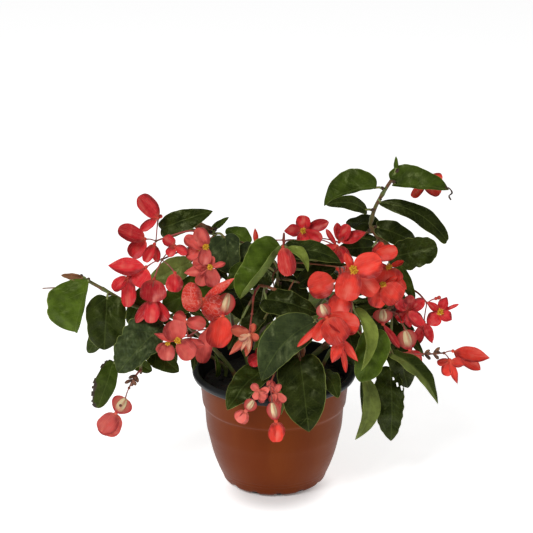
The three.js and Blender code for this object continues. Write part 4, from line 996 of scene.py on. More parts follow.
clusters = [
    {
        "name": "bloom_top_left",
        "cane": "cane_back_left",
        "colour": "crimson",
        "stem": [(204, 243, 26), (193, 231, 7), (170, 236, 4), (156, 241, 5)],
        "flowers": [
            flowerPlan((158, 218, 12), [(139, 196, 19, -3), (140, 231, 10, -4), (162, 215, 4, 3)],
                       knob=1.6),
            flowerPlan((145, 239, 4), [(118, 229, 18, -6), (132, 257.5, 18, -3)], knob=1.6),
            flowerPlan((154.5, 244, 4), [(145, 262, 11, -4), (158, 262.5, 9, 1)], knob=1.5),
        ],
    },
    {
        "name": "bloom_left",
        "cane": "cane_back_left",
        "colour": "crimson",
        "stem": [(214, 262, 28), (194, 247, 4), (181, 251, -10), (162, 259.5, -22)],
        "flowers": [
            flowerPlan((175, 246, -22), [(163, 238, 12, -4), (168, 256, 10, -2), (187, 254, 10, -3)],
                       knob=1.5),
            flowerPlan((146, 267, -28), [(108, 265.5, 20, -8, "pointed"), (134, 285, 25, -6)], knob=1.8),
            flowerPlan((128, 277, -30), [(113, 290, 14, -4), (127.5, 307, 15, -6)], knob=1.5,
                       hub=(146, 267, -27)),
            flowerPlan((154, 279, -36), [(152, 302, 27, -8)], tone="wine", knob=1.8, hub=(162, 260, -24)),
            flowerPlan((151, 299, -40), [(136, 323, 11, -6), (150, 323, 17, -9), (168, 320, 14, -6)],
                       knob=1.5, hub=(154, 279, -36)),
            flowerPlan((175, 273, -34), [(174, 292, 18, -4)], puff=2, knob=1.2, hub=(162, 260, -24)),
        ],
    },
    {
        "name": "bloom_pink",
        "crumple": 1.4,
        "cane": "cane_back_left",
        "colour": "pink",
        "stem": [(219, 276, 24), (214, 262, -18)],
        "flowers": [
            flowerPlan((206, 247, -26), [(197, 228, 16, -5), (184, 238, 14, 0), (203, 265, 14, -6),
                       (210, 256, 5, -2)], knob=2.4),
            flowerPlan((199, 248.5, -22), [(187, 258, 14, -3)], knob=2),
            flowerPlan((210, 267.5, -32), [(184, 273, 13, -4, "pointed"), (193, 261, 12, 2),
                       (225.5, 263, 6, -3), (214, 287, 16, -6), (198, 285, 14, -3), (212, 256, 8, 4)],
                       knob=2.4),
        ],
    },
    {
        "name": "bloom_bright",
        "cane": "cane_left",
        "colour": "coral",
        "stem": [(208, 331, -22), (212, 314, -44)],
        "flowers": [
            flowerPlan((203, 299, -54), [(181.5, 299, 30, -6), (234.5, 278, 11, -4, "pointed"),
                       (221, 316, 28, -2)], stamens=False, veined=True, knob=2.2),
            flowerPlan((223, 316, -56), [(217, 347.5, 26, -8), (226, 340, 18, 3)],
                       ovary=(228.5, 293, -50, 18)),
        ],
    },
    {
        "name": "bloom_blush",
        "cane": "cane_left",
        "colour": "pink",
        "stem": [(192, 336, -20), (188, 336, -40)],
        "flowers": [
            flowerPlan((178, 341, -58), [(173, 320, 26, 2), (154, 333.5, 8, -3, "pointed"),
                       (193, 358, 21, -6), (205, 345, 12, 4)], knob=2.6),
            flowerPlan((168, 343, -56), [(167, 360.5, 17, -6), (157, 352, 9, -2)], knob=2.2),
            flowerPlan((186, 322, -32), [(206, 324, 15, -2), (174, 315, 14, 0)], knob=1.4),
            flowerPlan((208, 329, -38), [(202, 363, 17, -6)], knob=1.4),
        ],
    },
    {
        "name": "bloom_hanging",
        "cane": "cane_low_left",
        "colour": "pink",
        "stem": [(139.5, 371, -26), (134, 378, -28), (129, 388, -28)],
        "bracts": [(137, 375, -27), (133, 379, -28)],
        "flowers": [
            flowerPlan((116, 413, -30), [(101.5, 432, 21, -5), (107, 436, 24, 3)], scar=True,
                       ovary=(126, 398, -28, 23)),
        ],
    },
    {
        "name": "bloom_faded",
        "crumple": 2.2,
        "cane": "cane_centre",
        "colour": "faded",
        "stem": [(255, 292, -24), (252, 314, -50)],
        "flowers": [
            flowerPlan((250, 334, -64), [(231, 329, 12, -3), (229, 355, 9, -5, "pointed"),
                       (246, 357, 9, -2, "pointed"), (258, 340, 8, 0), (255, 324, 7, 2)], stamens=False,
                       knob=2.2),
            flowerPlan((249, 335, -69), [(239, 340, 7.5, -2), (241, 351, 5, -2, "pointed"),
                       (249, 353, 5, -1, "pointed")], stamens=False, tone="cream", knob=1.0),
        ],
    },
    {
        "name": "bloom_shaded",
        "cane": "cane_front",
        "colour": "crimson",
        "stem": [(284, 356, -42), (272, 352, -50)],
        "flowers": [
            flowerPlan((263, 356, -54), [(249, 364, 14, -4), (257, 348, 9, 2)], knob=2),
        ],
    },
    {
        "name": "bloom_bud",
        "cane": "cane_tall",
        "colour": "coral",
        "stem": [(284, 234, 4), (283, 240, -20)],
        "flowers": [
            flowerPlan((283, 247, -28), [(288.5, 276, 19, -8), (282, 266, 7, 2)], tone="bud", puff=2.2,
                       knob=1.4),
            flowerPlan((256, 246, 8), [(255, 228, 6, 0, "pointed")], puff=1, knob=1, hub=(283, 240, 0)),
        ],
    },
    {
        "name": "bloom_top",
        "crumple": 2,
        "cane": "cane_tall",
        "colour": "crimson",
        "stem": [(284, 243, 14), (290, 240, 36), (306, 241, 46)],
        "flowers": [
            flowerPlan((303, 231, 28), [(305, 215.5, 16, 4), (329, 222, 13, 0),
                       (284, 231, 15, -3, "pointed"), (322, 240, 13, -4), (304, 246, 14, -4)], knob=2.4),
            flowerPlan((339, 242, 20), [(337, 222.5, 9, 2), (348, 224.5, 13, 0),
                       (366, 232, 15, -3, "pointed")], knob=1.6),
            flowerPlan((337, 246, 8), [(321, 249, 8, -3), (331, 254, 17, -2), (326, 229, 6, 3),
                       (345, 262, 16, -4)], knob=1.6),
        ],
    },
    {
        "name": "bloom_main",
        "cane": "cane_right",
        "colour": "coral",
        "stem": [(352, 322, -14), (352, 300, -30), (352, 284, -40)],
        "flowers": [
            flowerPlan((353.5, 270, -50), [(382, 261, 27, -6), (345, 300, 27, -8), (345.5, 252.5, 9, 2),
                       (375, 294, 23, 2)], knob=3.2),
            flowerPlan((372, 258, -36), [(397.5, 250, 16, -4), (382, 242, 10, 2)], knob=1.4),
            flowerPlan((334, 281, -44), [(308.5, 289, 28, -5)], knob=1.6),
            flowerPlan((342, 292, -40), [(336, 315, 24, -8)], knob=1.6),
        ],
    },
    {
        "name": "bloom_right",
        "cane": "cane_right",
        "colour": "coral",
        "stem": [(378, 314, -14), (386, 298, -26)],
        "flowers": [
            flowerPlan((388.5, 267, -26), [(389, 284, 29, -8), (404, 261, 6, 0), (372, 265, 8, 2),
                       (406.5, 289.5, 7, -1)], knob=2.4),
            flowerPlan((383, 284.5, -40), [(399, 301, 25, -5), (374, 307, 20, -4), (397, 277, 6, 2)],
                       knob=2.4),
        ],
    },
    {
        "name": "bloom_right_low",
        "crumple": 2,
        "cane": "cane_right",
        "colour": "crimson",
        "stem": [(388, 312, -14), (398, 314, -22)],
        "flowers": [
            flowerPlan((383, 324, -28), [(399.5, 348, 8, -4)], ovary=(383, 309, -26, 20)),
            flowerPlan((410, 350, -26), [(422, 364, 13, -3, "pointed"), (408, 362, 12, -1)],
                       ovary=(405, 330, -24, 21)),
            flowerPlan((408, 311, -24), [(393, 298, 14, -2, "pointed"), (410, 295, 12, 1),
                       (424, 300, 13, 2), (397, 320, 15, 3), (410, 328, 12, -3, "pointed"),
                       (423, 326, 12, -3)], knob=1.8),
        ],
    },
    {
        "name": "bloom_centre",
        "cane": "cane_front",
        "colour": "coral",
        "stem": [(324, 313, -56), (327, 303, -64)],
        "flowers": [
            flowerPlan((327, 318, -76), [(359, 327, 23, 0), (341, 343, 28, -10), (316, 341, 13, -5),
                       (297, 347, 7, -7)], ovary=(321, 304, -68, 15)),
            flowerPlan((341, 338, -80), [(332, 363, 14, -5, "pointed"), (358, 361.5, 10, -2, "pointed"),
                       (346, 373, 6, -2)], knob=1.6, hub=(329, 320, -75)),
        ],
    },
    {
        "name": "bloom_far_right",
        "crumple": 2.2,
        "cane": "cane_right",
        "colour": "crimson",
        "stem": [(408, 288, -6), (418, 293, -8), (427, 303, -10)],
        "flowers": [
            flowerPlan((440, 312, -14), [(447, 297, 12, 0, "pointed"), (452, 320, 14, -4, "pointed"),
                       (427, 325, 18, -2, "pointed"), (427, 302, 10, 2, "pointed"), (459, 304, 4, -2)],
                       knob=2.6),
            flowerPlan((424, 322, -12), [(432.5, 343.5, 12, -3, "pointed"), (415, 346, 12, 1),
                       (413, 311, 7, 2)], knob=1.5),
            flowerPlan((436, 298.5, -10), [(441, 297, 4, 0)], knob=1.2),
        ],
    },
    {
        "name": "bloom_tip_right",
        "cane": "cane_right",
        "colour": "coral",
        "stem": [(360, 332, -20), (384, 349, -33), (424, 354, -33), (444, 353, -26)],
        "bracts": [(423, 354, -33), (432, 354, -31)],
        "flowers": [
            flowerPlan((453, 351, -24), [(490, 358, 19, -4, "pointed"), (480.5, 370, 13, 2)], knob=1.6),
            flowerPlan((450, 360, -25), [(465, 365, 12, -3, "pointed"), (446, 376, 12, -2),
                       (457.5, 384, 9, -4, "pointed"), (437, 363, 8, 0)], knob=1.6),
        ],
    },
    {
        "name": "bloom_behind_top",
        "cane": "cane_upper_right",
        "colour": "coral",
        "stem": [(398, 180, 58), (412, 184, 64)],
        "flowers": [
            flowerPlan((424, 183, 64), [(442, 175, 11, 2), (440, 194, 14, 0), (412, 197, 10, -1)],
                       knob=1.6),
        ],
    },
    {
        "name": "bloom_pot_front",
        "cane": "cane_front",
        "colour": "coral",
        "stem": [(283, 357, -50), (277, 367, -76), (270, 385, -96)],
        "flowers": [
            flowerPlan((259, 391, -100), [(252, 384, 8, 0), (266, 399, 10, -2), (269, 390, 7.5, 1),
                       (254, 399, 7.5, -3), (262, 403, 7, 2)], tone="salmon", knob=1.8),
            flowerPlan((246, 411, -100), [(236, 420, 13, -2), (243, 424, 10, 1)], tone="salmon",
                       ovary=(254, 400, -98, 13)),
            flowerPlan((276, 421, -100), [(276, 442, 16, -3), (281, 438, 12, 2)],
                       ovary=(272, 402, -98, 14)),
            flowerPlan((276, 393, -90), [(285, 402, 9, -2), (268, 381, 9, 3), (280, 384, 7, 1),
                       (270, 402, 7.5, -3), (280, 410, 7, 0)], tone="salmon", knob=1.4),
        ],
    },
    {
        "name": "bloom_rear_left",
        "cane": "cane_rear_left",
        "colour": "crimson",
        "stem": [(244, 303, 92), (238, 307, 108)],
        "flowers": [
            flowerPlan((232, 306, 126), [(222, 290, 22, 6), (240, 322, 22, 6), (218, 312, 9, 4),
                       (246, 298, 9, 4)], face=(-0.2, 1, 0.5), knob=2.6),
        ],
    },
    {
        "name": "bloom_rear_right",
        "cane": "cane_rear_right",
        "colour": "coral",
        "stem": [(340, 268, 86), (344, 268, 108)],
        "flowers": [
            flowerPlan((344, 276, 120), [(330, 266, 22, 6), (358, 286, 22, 6), (352, 262, 9, 4),
                       (336, 292, 9, 4)], face=(0.2, 1, 0.5), knob=2.6),
        ],
    },
]


def towards(path, place):
    # the point of a path that lies nearest
    return path[np.argmin(np.linalg.norm(path - place, axis=1))]


def canePath(plan):
    # straight up out of the soil, then on through the places in the picture
    x, y = plan["root"]
    foot = [[x, y, z] for z in tissue["rootHeights"]]
    return smoothPath(np.vstack([foot, at(plan["path"])]), 90)


def caneRadii(path, radius):
    # thicker at each node, thinner towards the tip
    steps = lengthsAlong(path)
    away = (steps + 6) % tissue["nodeStep"] - tissue["nodeStep"] / 2
    swell = tissue["nodeSwell"] * np.exp(-(away / tissue["nodeWidth"]) ** 2)
    taper = 1 - tissue["taper"] * steps / steps[-1]
    radii = radius * (0.92 + swell) * taper
    radii[[0, -1]] *= 0.6
    return radii


def dryShare(plan, u, v):
    # how withered the blade is: along one margin, more so towards the tip, or at the tip alone
    if "dry" in plan:
        reach = 0.82 - 0.3 * u**2 + 0.1 * np.sin(u * 17 + 1) + 0.06 * np.sin(u * 41)
        return np.clip((plan["dry"] * v - reach) / 0.06, 0, 1)
    if plan.get("dryTip"):
        return np.clip((u - 0.94) / 0.03, 0, 1) + 0 * v
    return 0 * u * v


def leafTint(plan, rows, columns):
    # the blade's tone row by row, with its paler half, its dry parts and its specks
    u = np.linspace(0, 1, rows + 1)[:, None]
    v = np.linspace(-1, 1, columns + 1)[None, :]
    main = shares(leafTones[plan["tone"]])
    other = shares(leafTones[plan.get("other", plan["tone"])])
    grain = dice.random((rows + 1, columns + 1, 1))
    tint = np.where((v < -0.02)[..., None], other, main) * (0.9 + 0.2 * grain)
    if "tooth" in plan:
        tint = tint * (0.65 + 0.7 * grain) + 0.012 * (grain > 0.86)
    brown = dryShare(plan, u, v)
    return tint * (1 - brown[..., None]) + shares(tissue["dryTone"]) * brown[..., None]


def leafCells(plan, rows, columns):
    # which cells of the blade are withered, and which are left where insects or fraying have opened it
    u = (np.arange(1, rows - 1) + 0.5)[:, None] / rows
    v = (np.arange(columns) + 0.5)[None, :] / columns * 2 - 1
    withered = dryShare(plan, u, v)
    keep = (withered < 0.5) | (np.abs(v) < 0.93) | (dice.random((rows - 2, columns)) < 0.6)
    if plan.get("holes"):
        for place, side, reach, wide in tissue["bites"]:
            keep &= ((u - place) / reach) ** 2 + ((v - side) / wide) ** 2 > 1
    return withered > 0.5, keep


def leafParts(line, plan, index):
    # a leaf's blade, its stalk from the nearest place on the cane, and the scale at the stalk's foot
    base = at([*plan["base"], plan["depths"][0]])
    tip = at([*plan["tip"], plan["depths"][1]])
    wide = plan["wide"] * view["pixel"]
    big = plan["wide"] > 24
    face = unit(plan.get("face", (0, -1, 0.35)))
    look = {
        "kind": "leaf",
        "wide": wide,
        "left": plan.get("left", 0.5),
        "lobe": plan.get("lobe", 0.12),
        "blunt": plan.get("blunt", 0.62),
        "bow": 0.1,
        "curl": plan.get("curl", 0),
        "bend": plan.get("bend", 0),
        "folds": plan.get("folds", (7, 7)),
        "wave": 0.035,
        "steps": 5 if plan["wide"] > 28 and plan["depths"][1] < 60 else 4,
        "tooth": plan.get("tooth", 0.05),
        "teeth": np.linalg.norm(tip - base) / 6.5,
        "ruffle": 0.5 + 0.012 * wide,
        "billow": 0.035 * wide,
        "uneven": 0.045,
        "quilt": 0.55 if big else 0.3,
        "thick": tissue["leafThick"],
        "puff": 0,
        "shift": dice.random(),
        "rows": 44 if big else 28,
        "columns": 26 if big else 16,
    }
    withered, keep = leafCells(plan, look["rows"], look["columns"])
    look["keep"] = None if keep.all() else keep
    sheet = bladeSheet(base, tip, face, look, leafTint(plan, look["rows"], look["columns"]), (0, 1))
    if "dry" in plan:
        paper = np.tile(withered[keep], 2)
        sheet["quadSkins"][: len(paper)][paper] = 3
    along, normal, side = bladeFrame(base, tip, face)
    # the stalk ends inside the blade, 2.4 mm from its base, where the blade has begun to bow and bend
    inside = base + 2.4 * along
    inside = inside + (7 * (look["bow"] - look["curl"]) - 0.3) * normal + 7 * look["bend"] * side
    start = towards(line, at(plan["join"]) if "join" in plan else base)
    elbow = start + (base - start) * 0.6
    elbow[2] += plan.get("rise", 1.5)
    path = smoothPath([start, elbow, inside], 16)
    swell = tissue["petiole"] * (1 + 0.35 * np.linspace(1, 0, 16) ** 3)
    swell[-1] *= 0.5
    stalk = tube(path, swell, 8, stemTones["petiole"], 2)
    return [sheet, stalk] + stipule(start, unit(base - start), index)


def stipule(start, along, index):
    # the dry papery scale left at the foot of a leaf stalk
    tip = start + 7.5 * unit(along + [0.15, -0.1, 0.5]) + 1.5 * np.array([math.sin(index), 0, 0])
    look = {**dryScale, "wide": 3.2, "bow": 0.18, "folds": (17, 17), "ruffle": 0.2, "thick": 0.3}
    return [bladeSheet(start + 1.5 * along, tip, (0.2, -1, 0.3), look, stemTones["dry"], (3, 3))]


def makeCane(plan):
    # one piece: the cane, its side shoot, twigs and withered stalks, and its leaves
    path = canePath(plan)
    line = path
    bark = stemTones[plan.get("bark", "cane")]
    parts = [tube(path, caneRadii(path, plan["radius"]), 14, bark, 2)]
    if "upper" in plan:
        shoot = smoothPath(at(plan["upper"]), 44)
        parts.append(tube(shoot, caneRadii(shoot, plan["radius"] * tissue["upperShare"]), 14, bark, 2))
        line = np.vstack([path, shoot])
    for radius, spots in plan.get("twigs", []):
        trail = smoothPath(at(spots), 22)
        parts.append(tube(trail, radius * np.linspace(1, 0.6, 22), 8, stemTones["twig"], 2))
    for spots in plan.get("withered", []):
        trail = smoothPath(at(spots), 22)
        radii = 0.55 + 0.35 * np.abs(np.sin(np.linspace(0, 9, 22)))
        parts.append(tube(trail, radii, 6, stemTones["dry"], 3))
    for index, leaf in enumerate(plan["leaves"]):
        parts += leafParts(line, leaf, index)
    makePiece(plan["name"].title().replace("_", "") + "Leaves", parts,
              [leafTop, leafUnder, caneBark, dryPaper], [plan["name"]])
    return line


# Flowers

flowerLook = {
    "face": (0, -1, 0.45),
    "layer": 1.1,           # mm between tepals that lie over each other
    "crease": 0.2,          # mm high folds of a tepal
    "netStep": 1.5,         # how fine the net of a veined tepal is
    "netShare": 0.36,       # how pale it is
    "netWidth": 0.2,
    "stamens": 28,
    "stamenTurn": 2.39996,  # radians from each anther to the next
    "anther": "#e8b41e",
    "ovaryWing": "#b0222a",
    "ovaryBody": "#e6d3a4",
    "scar": "#5c0f14",      # where a tepal has dropped
    "bracts": (("#8c5f40", 0.8), ("#6b4530", -0.5), ("#96604a", 0.2)),  # tone, and how far to the side
}


def tepalSheet(centre, tip, wide, face, puff, tone, crumple, veined, form="broad"):
    # a creased blade from the flower's centre, with a shade of its own
    reach = unit(tip - centre)
    base = centre + 0.7 * reach
    length = np.linalg.norm(tip - base)
    narrow = form == "broad" and wide < 0.5 * length
    look = {
        "kind": "narrow" if narrow else form,
        "wide": wide,
        "left": 0.44 + 0.12 * dice.random(),
        "bow": -0.05 - 0.07 * dice.random(),
        "folds": (10 + 18 * dice.random(), 10 + 18 * dice.random()),
        "roll": 0.7 * (dice.random() - 0.5),
        "crease": flowerLook["crease"] * crumple * min(1, wide / 18),
        "wave": 0.012,
        "uneven": 0.05,
        "steps": 2.5,
        "tooth": 0.0,
        "teeth": 1,
        "ruffle": 0.2 + 0.02 * wide,
        "quilt": 0,
        "thick": tissue["petalThick"],
        "puff": puff,
        "shift": dice.random(),
        "rows": 60 if veined else 26 if length > 12 else 16,
        "columns": 50 if veined else 20 if length > 12 else 12,
    }
    shade = 0.76 + 0.5 * dice.random()
    colour = np.clip(shares(tone) * shade, 0, 1)
    sheet = bladeSheet(base, tip, face, look, "#ffffff", (0, 0))
    lines = np.zeros(len(sheet["points"]))
    if veined:
        spots = sheet["place"] * flowerLook["netStep"]
        relief = roughField(spots[:, 0], spots[:, 1])
        lines = flowerLook["netShare"] * np.exp(-(relief / flowerLook["netWidth"]) ** 2)
    sheet["tone"] = colour * (1 - lines[:, None]) + shares(petalLook["veins"]) * lines[:, None]
    return sheet


def ovary(base, tip, wide, face):
    # a three-lobed seed case whose outline round the axis rises into three thin rounded wings
    axis = tip - base
    length = np.linalg.norm(axis)
    axis = axis / length
    front = unit(np.asarray(face, float) - axis * np.dot(face, axis))
    side = np.cross(front, axis)
    rows = 18
    s = np.linspace(0, 1, rows + 1)[1:-1]
    # each wing's place round the axis in half turns, and its reach; the first faces the front and is short
    wings = ((0.42, 0.24), (1.08, 0.5), (1.92, 0.5))
    angles, reaches, bodies = [], [], []
    for turn, reach in wings:
        edge = 0.28 / (reach * wide) / np.pi
        angles += [turn + step for step in (-0.26, -0.14, -0.05, -edge, edge, 0.05, 0.14)]
        reaches += [0, 0, 0.12, reach, reach, 0.12, 0]
        bodies += [0.15, 0.19, 0.2, 0, 0, 0.2, 0.19]
    order = np.argsort(angles)
    angles = np.array(angles)[order] * np.pi
    reaches = np.array(reaches)[order]
    bodies = np.array(bodies)[order]
    belly = np.sin(np.pi * s) ** 0.55
    wingForm = np.sin(np.pi * s**0.85) ** 0.6
    radius = np.maximum(reaches[None, :] * wingForm[:, None], bodies[None, :] * belly[:, None]) * wide
    ring = np.cos(angles)[None, :, None] * side + np.sin(angles)[None, :, None] * front
    rings = base + (s * length)[:, None, None] * axis + radius[..., None] * ring
    points = np.vstack([base, rings.reshape(-1, 3), tip])
    around = np.clip(reaches / 0.15, 0, 1) * np.where(np.abs(angles / np.pi - 0.42) < 0.1, 0.5, 1)
    mix = np.maximum(around[None, :], np.clip((s[:, None] - 0.5) / 0.35, 0, 1)).reshape(-1, 1)
    mix = np.vstack([[[0.3]], mix, [[1.0]]])
    made = part(points, *ringFaces(rows - 1, len(angles)), "#ffffff")
    made["tone"] = shares(flowerLook["ovaryBody"]) * (1 - mix) + shares(flowerLook["ovaryWing"]) * mix
    made["place"] = np.full_like(points, 20.0)
    return made


def stamens(centre, front, size, count):
    # yellow anthers on short filaments, spread evenly over a dome
    side = unit(np.cross(front, [0.2, 0.1, 1]))
    upright = np.cross(side, front)
    k = np.arange(count) + 0.5
    tilt = np.arccos(1 - 0.85 * k / count)
    turn = k * flowerLook["stamenTurn"]
    parts = []
    thick = size * np.array([0.05, 0.05, 0.06, 0.16, 0.19, 0.1])
    for one, other in zip(tilt, turn):
        one = one + 0.2 * dice.random()
        other = other + 0.5 * dice.random()
        way = np.cos(one) * front + np.sin(one) * (np.cos(other) * side + np.sin(other) * upright)
        foot = centre + way * size * 0.2
        head = centre + way * size * (0.75 + 0.4 * dice.random())
        parts.append(tube(np.linspace(foot, head, 6), thick, 6, flowerLook["anther"], 2))
    return parts


def bracts(centre, along):
    # withered scales that stand out round a fork
    parts = []
    look = {**dryScale, "wide": 3.6, "bow": 0.16, "folds": (20, 20), "ruffle": 0.3, "thick": 0.35}
    across = unit(np.cross(along, (0, 1, 0)))
    for tone, side in flowerLook["bracts"]:
        way = unit(0.7 * along + side * across - 0.3 * dice.random() * np.array([0, 1, 0]))
        tip = centre + (6.5 + 3 * dice.random()) * way
        parts.append(bladeSheet(centre, tip, (0, -1, 0.5), look, tone, (3, 3)))
    return parts


def flowerParts(plan, hub, tone, crumple):
    # a flower's knob and stamens or its seed case, its tepals from the back to the front, and its stalk
    centre = at(plan["at"])
    face = np.asarray(plan.get("face", flowerLook["face"]), float)
    front = unit(face)
    tips = plan["tips"]
    stack = flowerLook["layer"] / 2 * (len(tips) - 1)
    foot = centre - front * (stack + 1.3)
    parts = []
    if "ovary" in plan:
        column, row, depth, wide = plan["ovary"]
        foot = at([column, row, depth])
        parts.append(ovary(foot, centre, wide * view["pixel"], face))
        if plan.get("scar"):
            middle = (foot + centre) / 2 + front * 0.3 * wide
            parts.append(ball(middle, 1.5, flowerLook["scar"], 6, 10, 1))
        foot = foot + 1.6 * unit(centre - foot)
        parts.append(ball(centre, 1.9, tone))
    else:
        size = max(plan["knob"], 2.2)
        parts.append(ball(centre - 0.6 * front, size * 0.8, tone))
        if plan["knob"] >= 2 and plan.get("stamens", True):
            head = centre + front * (stack * 0.6 + 0.6)
            parts += stamens(head, front, plan["knob"] * 1.35, flowerLook["stamens"])
    layers = sorted(tips, key=lambda spot: -spot[3])
    for layer, (column, row, wide, step, *form) in enumerate(layers):
        tip = at([column, row, plan["at"][2] + step])
        level = centre + front * (flowerLook["layer"] * layer - stack)
        parts.append(tepalSheet(level, tip, wide * view["pixel"], face, plan.get("puff", 0), tone, crumple,
                                plan.get("veined"), *form))
    start = at(plan["hub"]) if "hub" in plan else hub
    bend = start + (foot - start) / 2
    bend[2] += 0.08 * np.linalg.norm(foot - start)
    path = smoothPath([start, bend, foot], 14)
    radii = tissue["pedicel"] * (1 + 0.5 * np.linspace(0, 1, 14) ** 4)
    parts.append(tube(path, radii, 7, stemTones["flower"], 1))
    return parts


def makeBloom(plan, line):
    # one piece: the stalk, which starts inside its cane, the fork at its end and the flowers on it
    points = at(plan["stem"])
    start = towards(line, points[0])
    away = unit(points[0] - start)
    path = smoothPath(np.vstack([start + 1.2 * away, points]), 34)
    hub = points[-1]
    parts = [
        tube(path, tissue["peduncle"] * np.linspace(1.15, 0.85, 34), 9, stemTones["flower"], 1),
        ball(hub, 1.5, stemTones["flower"], 6, 9, 1),
    ]
    tone = petalTones[plan["colour"]]
    for spot in plan.get("bracts", []):
        near = np.argmin(np.linalg.norm(path - at(spot), axis=1))
        parts += bracts(path[near], unit(path[min(near + 1, len(path) - 1)] - path[near - 1]))
    for flower in plan["flowers"]:
        own = petalTones[flower["tone"]] if "tone" in flower else tone
        parts += flowerParts(flower, hub, own, plan.get("crumple", 1))
    makePiece(plan["name"].title().replace("_", ""), parts, [petalTissue, caneBark, antherPollen, dryPaper],
              [plan["name"]])


lines = {plan["name"]: makeCane(plan) for plan in canes}
print("canes made")
for plan in clusters:
    makeBloom(plan, lines[plan["cane"]])
print("blooms made")


# Pot

potLook = {
    "outer": (                  # radius and height in mm, from the middle of the underside out and up
        (0, 0), (45.0, 0), (49.7, 2.4), (54.6, 12.8), (60.6, 29.4), (64.8, 49), (66.8, 57), (68.2, 79.5),
        (70.2, 81.5), (72.6, 107), (79, 109.6), (80.3, 114.2), (78.3, 116),
    ),
    "inner": (
        (74.0, 116), (70.4, 99), (68.7, 82), (66.6, 79), (63.2, 48), (53, 13), (47.5, 2.2), (0, 2.2),
    ),
    "footInside": (42.0, 44.0),  # mm: where the foot of the wall ends, under the floor and over it
    "floorEdge": 44.5,          # mm: the floor reaches a little into the foot of the wall
    "floorThick": 2.2,
    "facets": 144,
    "fillet": 1.6,              # mm rounded at each corner
    "step": 2.0,                # mm between the points of the wall's profile
    "lugs": 13,                 # round the foot
    "lugTurn": 0.6,             # radians of their waves before the first lug
    "notch": 2.0,               # mm high between the lugs
    "bulge": 0.5,               # mm that a lug stands out from the wall
    "grooves": (                # mm up the wall, mm deep and mm wide
        (7.5, 0.28, 0.55), (10.5, 0.28, 0.55), (13.5, 0.28, 0.55), (84.5, 0.1, 0.5),
    ),
    "darkFrom": 107.5,          # mm: the black liner shows from here over the rim and inside
    "holes": 4,
    "holeRadius": 4.0,
    "holeCircle": 30.0,
}


def rounded(corners, reach, gentle):
    # each corner becomes a curve, which is longer at a slight corner among the first ones
    corners = np.asarray(corners, float)
    out = [corners[0]]
    t = np.linspace(0, 1, 7)[:, None]
    for k, (before, corner, after) in enumerate(zip(corners[:-2], corners[1:-1], corners[2:])):
        back, ahead = before - corner, after - corner
        slight = min(8, 1 / np.linalg.norm(unit(back) + unit(ahead))) if k < gentle else 1
        start = corner + unit(back) * min(reach * slight, 0.48 * np.linalg.norm(back))
        stop = corner + unit(ahead) * min(reach * slight, 0.48 * np.linalg.norm(ahead))
        out.extend((1 - t) ** 2 * start + 2 * t * (1 - t) * corner + t**2 * stop)
    out.append(corners[-1])
    return np.array(out)


def dense(profile, step):
    # extra points so that no stretch is longer than the step
    out = [profile[0]]
    for one, other in zip(profile[:-1], profile[1:]):
        count = max(1, int(np.ceil(np.linalg.norm(other - one) / step)))
        out.extend(one + (other - one) * k / count for k in range(1, count + 1))
    return np.array(out)


def makePot():
    # the wall: a profile turned round the axis, from the foot ring up, over the rim and down inside
    wall = potLook["outer"][1:] + potLook["inner"][:-1]
    below, above = potLook["footInside"]
    corners = ((below, 0.0), *wall, (above, potLook["floorThick"]))
    profile = dense(rounded(corners, potLook["fillet"], len(potLook["outer"]) - 1), potLook["step"])
    radius, height = profile[:, 0], profile[:, 1]
    outside = np.arange(len(profile)) < np.argmax(height)
    for level, depth, wide in potLook["grooves"]:
        radius = radius - outside * depth * np.exp(-((height - level) / wide) ** 2)
    # the foot: lugs round it with arched gaps between them, which bulge a little where they stand
    turn = evenTurns(potLook["facets"])
    lug = 0.5 - 0.5 * np.cos(turn * potLook["lugs"] + potLook["lugTurn"])
    gap = np.clip((0.34 - lug) / 0.2, 0, 1) ** 2
    foot = np.clip(1 - height / 6, 0, 1) * outside * np.clip((radius - 43.5) / 2, 0, 1)
    z = height[:, None] + potLook["notch"] * gap[None, :] * foot[:, None]
    bulge = (1 - gap)[None, :] * np.exp(-((height - 4) / 3) ** 2)[:, None] * outside[:, None]
    r = radius[:, None] + potLook["bulge"] * bulge
    points = np.stack([r * np.cos(turn), r * np.sin(turn), z], axis=-1)
    dark = (height > potLook["darkFrom"]) | ~outside
    wallPart = hollowBody(points, True)
    wallPart["quadSkins"] = np.repeat(dark.astype(int), potLook["facets"])
    makePiece("Pot", [wallPart] + potFloor(), [brownPlastic, blackPlastic], ["pot"])


def potFloor():
    # a quarter of the floor round each drain hole: lines run from the hole to the quarter's edge
    hole, circle, edge = potLook["holeRadius"], potLook["holeCircle"], potLook["floorEdge"]
    turn = evenTurns(48)
    ray = np.stack([np.cos(turn), np.sin(turn)], axis=-1)
    centre = np.array([circle, 0.0])
    toRim = -ray[:, 0] * circle + np.sqrt((ray[:, 0] * circle) ** 2 + edge**2 - circle**2)
    reach = toRim.copy()
    for sign in (1, -1):
        # the two straight sides of the quarter, at 45 degrees
        across = sign * ray[:, 1] - ray[:, 0]
        hit = np.where(across > 1e-6, circle / np.where(across > 1e-6, across, 1), 1e9)
        reach = np.minimum(reach, hit)
    parts = []
    share = np.linspace(0, 1, 7)[:, None]
    distance = hole + (reach - hole)[None, :] * share
    flat = centre + distance[..., None] * ray[None]
    for k in range(potLook["holes"]):
        angle = (k + 0.5) * 2 * np.pi / potLook["holes"]
        c, s = math.cos(angle), math.sin(angle)
        x = flat[..., 0] * c - flat[..., 1] * s
        y = flat[..., 0] * s + flat[..., 1] * c
        top = np.stack([x, y, np.full_like(x, potLook["floorThick"])], axis=-1)
        under = np.stack([x, y, np.zeros_like(x)], axis=-1)
        made = hollowBody(np.vstack([top, under[::-1]]))
        made["quadSkins"][:] = 1
        parts.append(made)
    return parts


# Soil

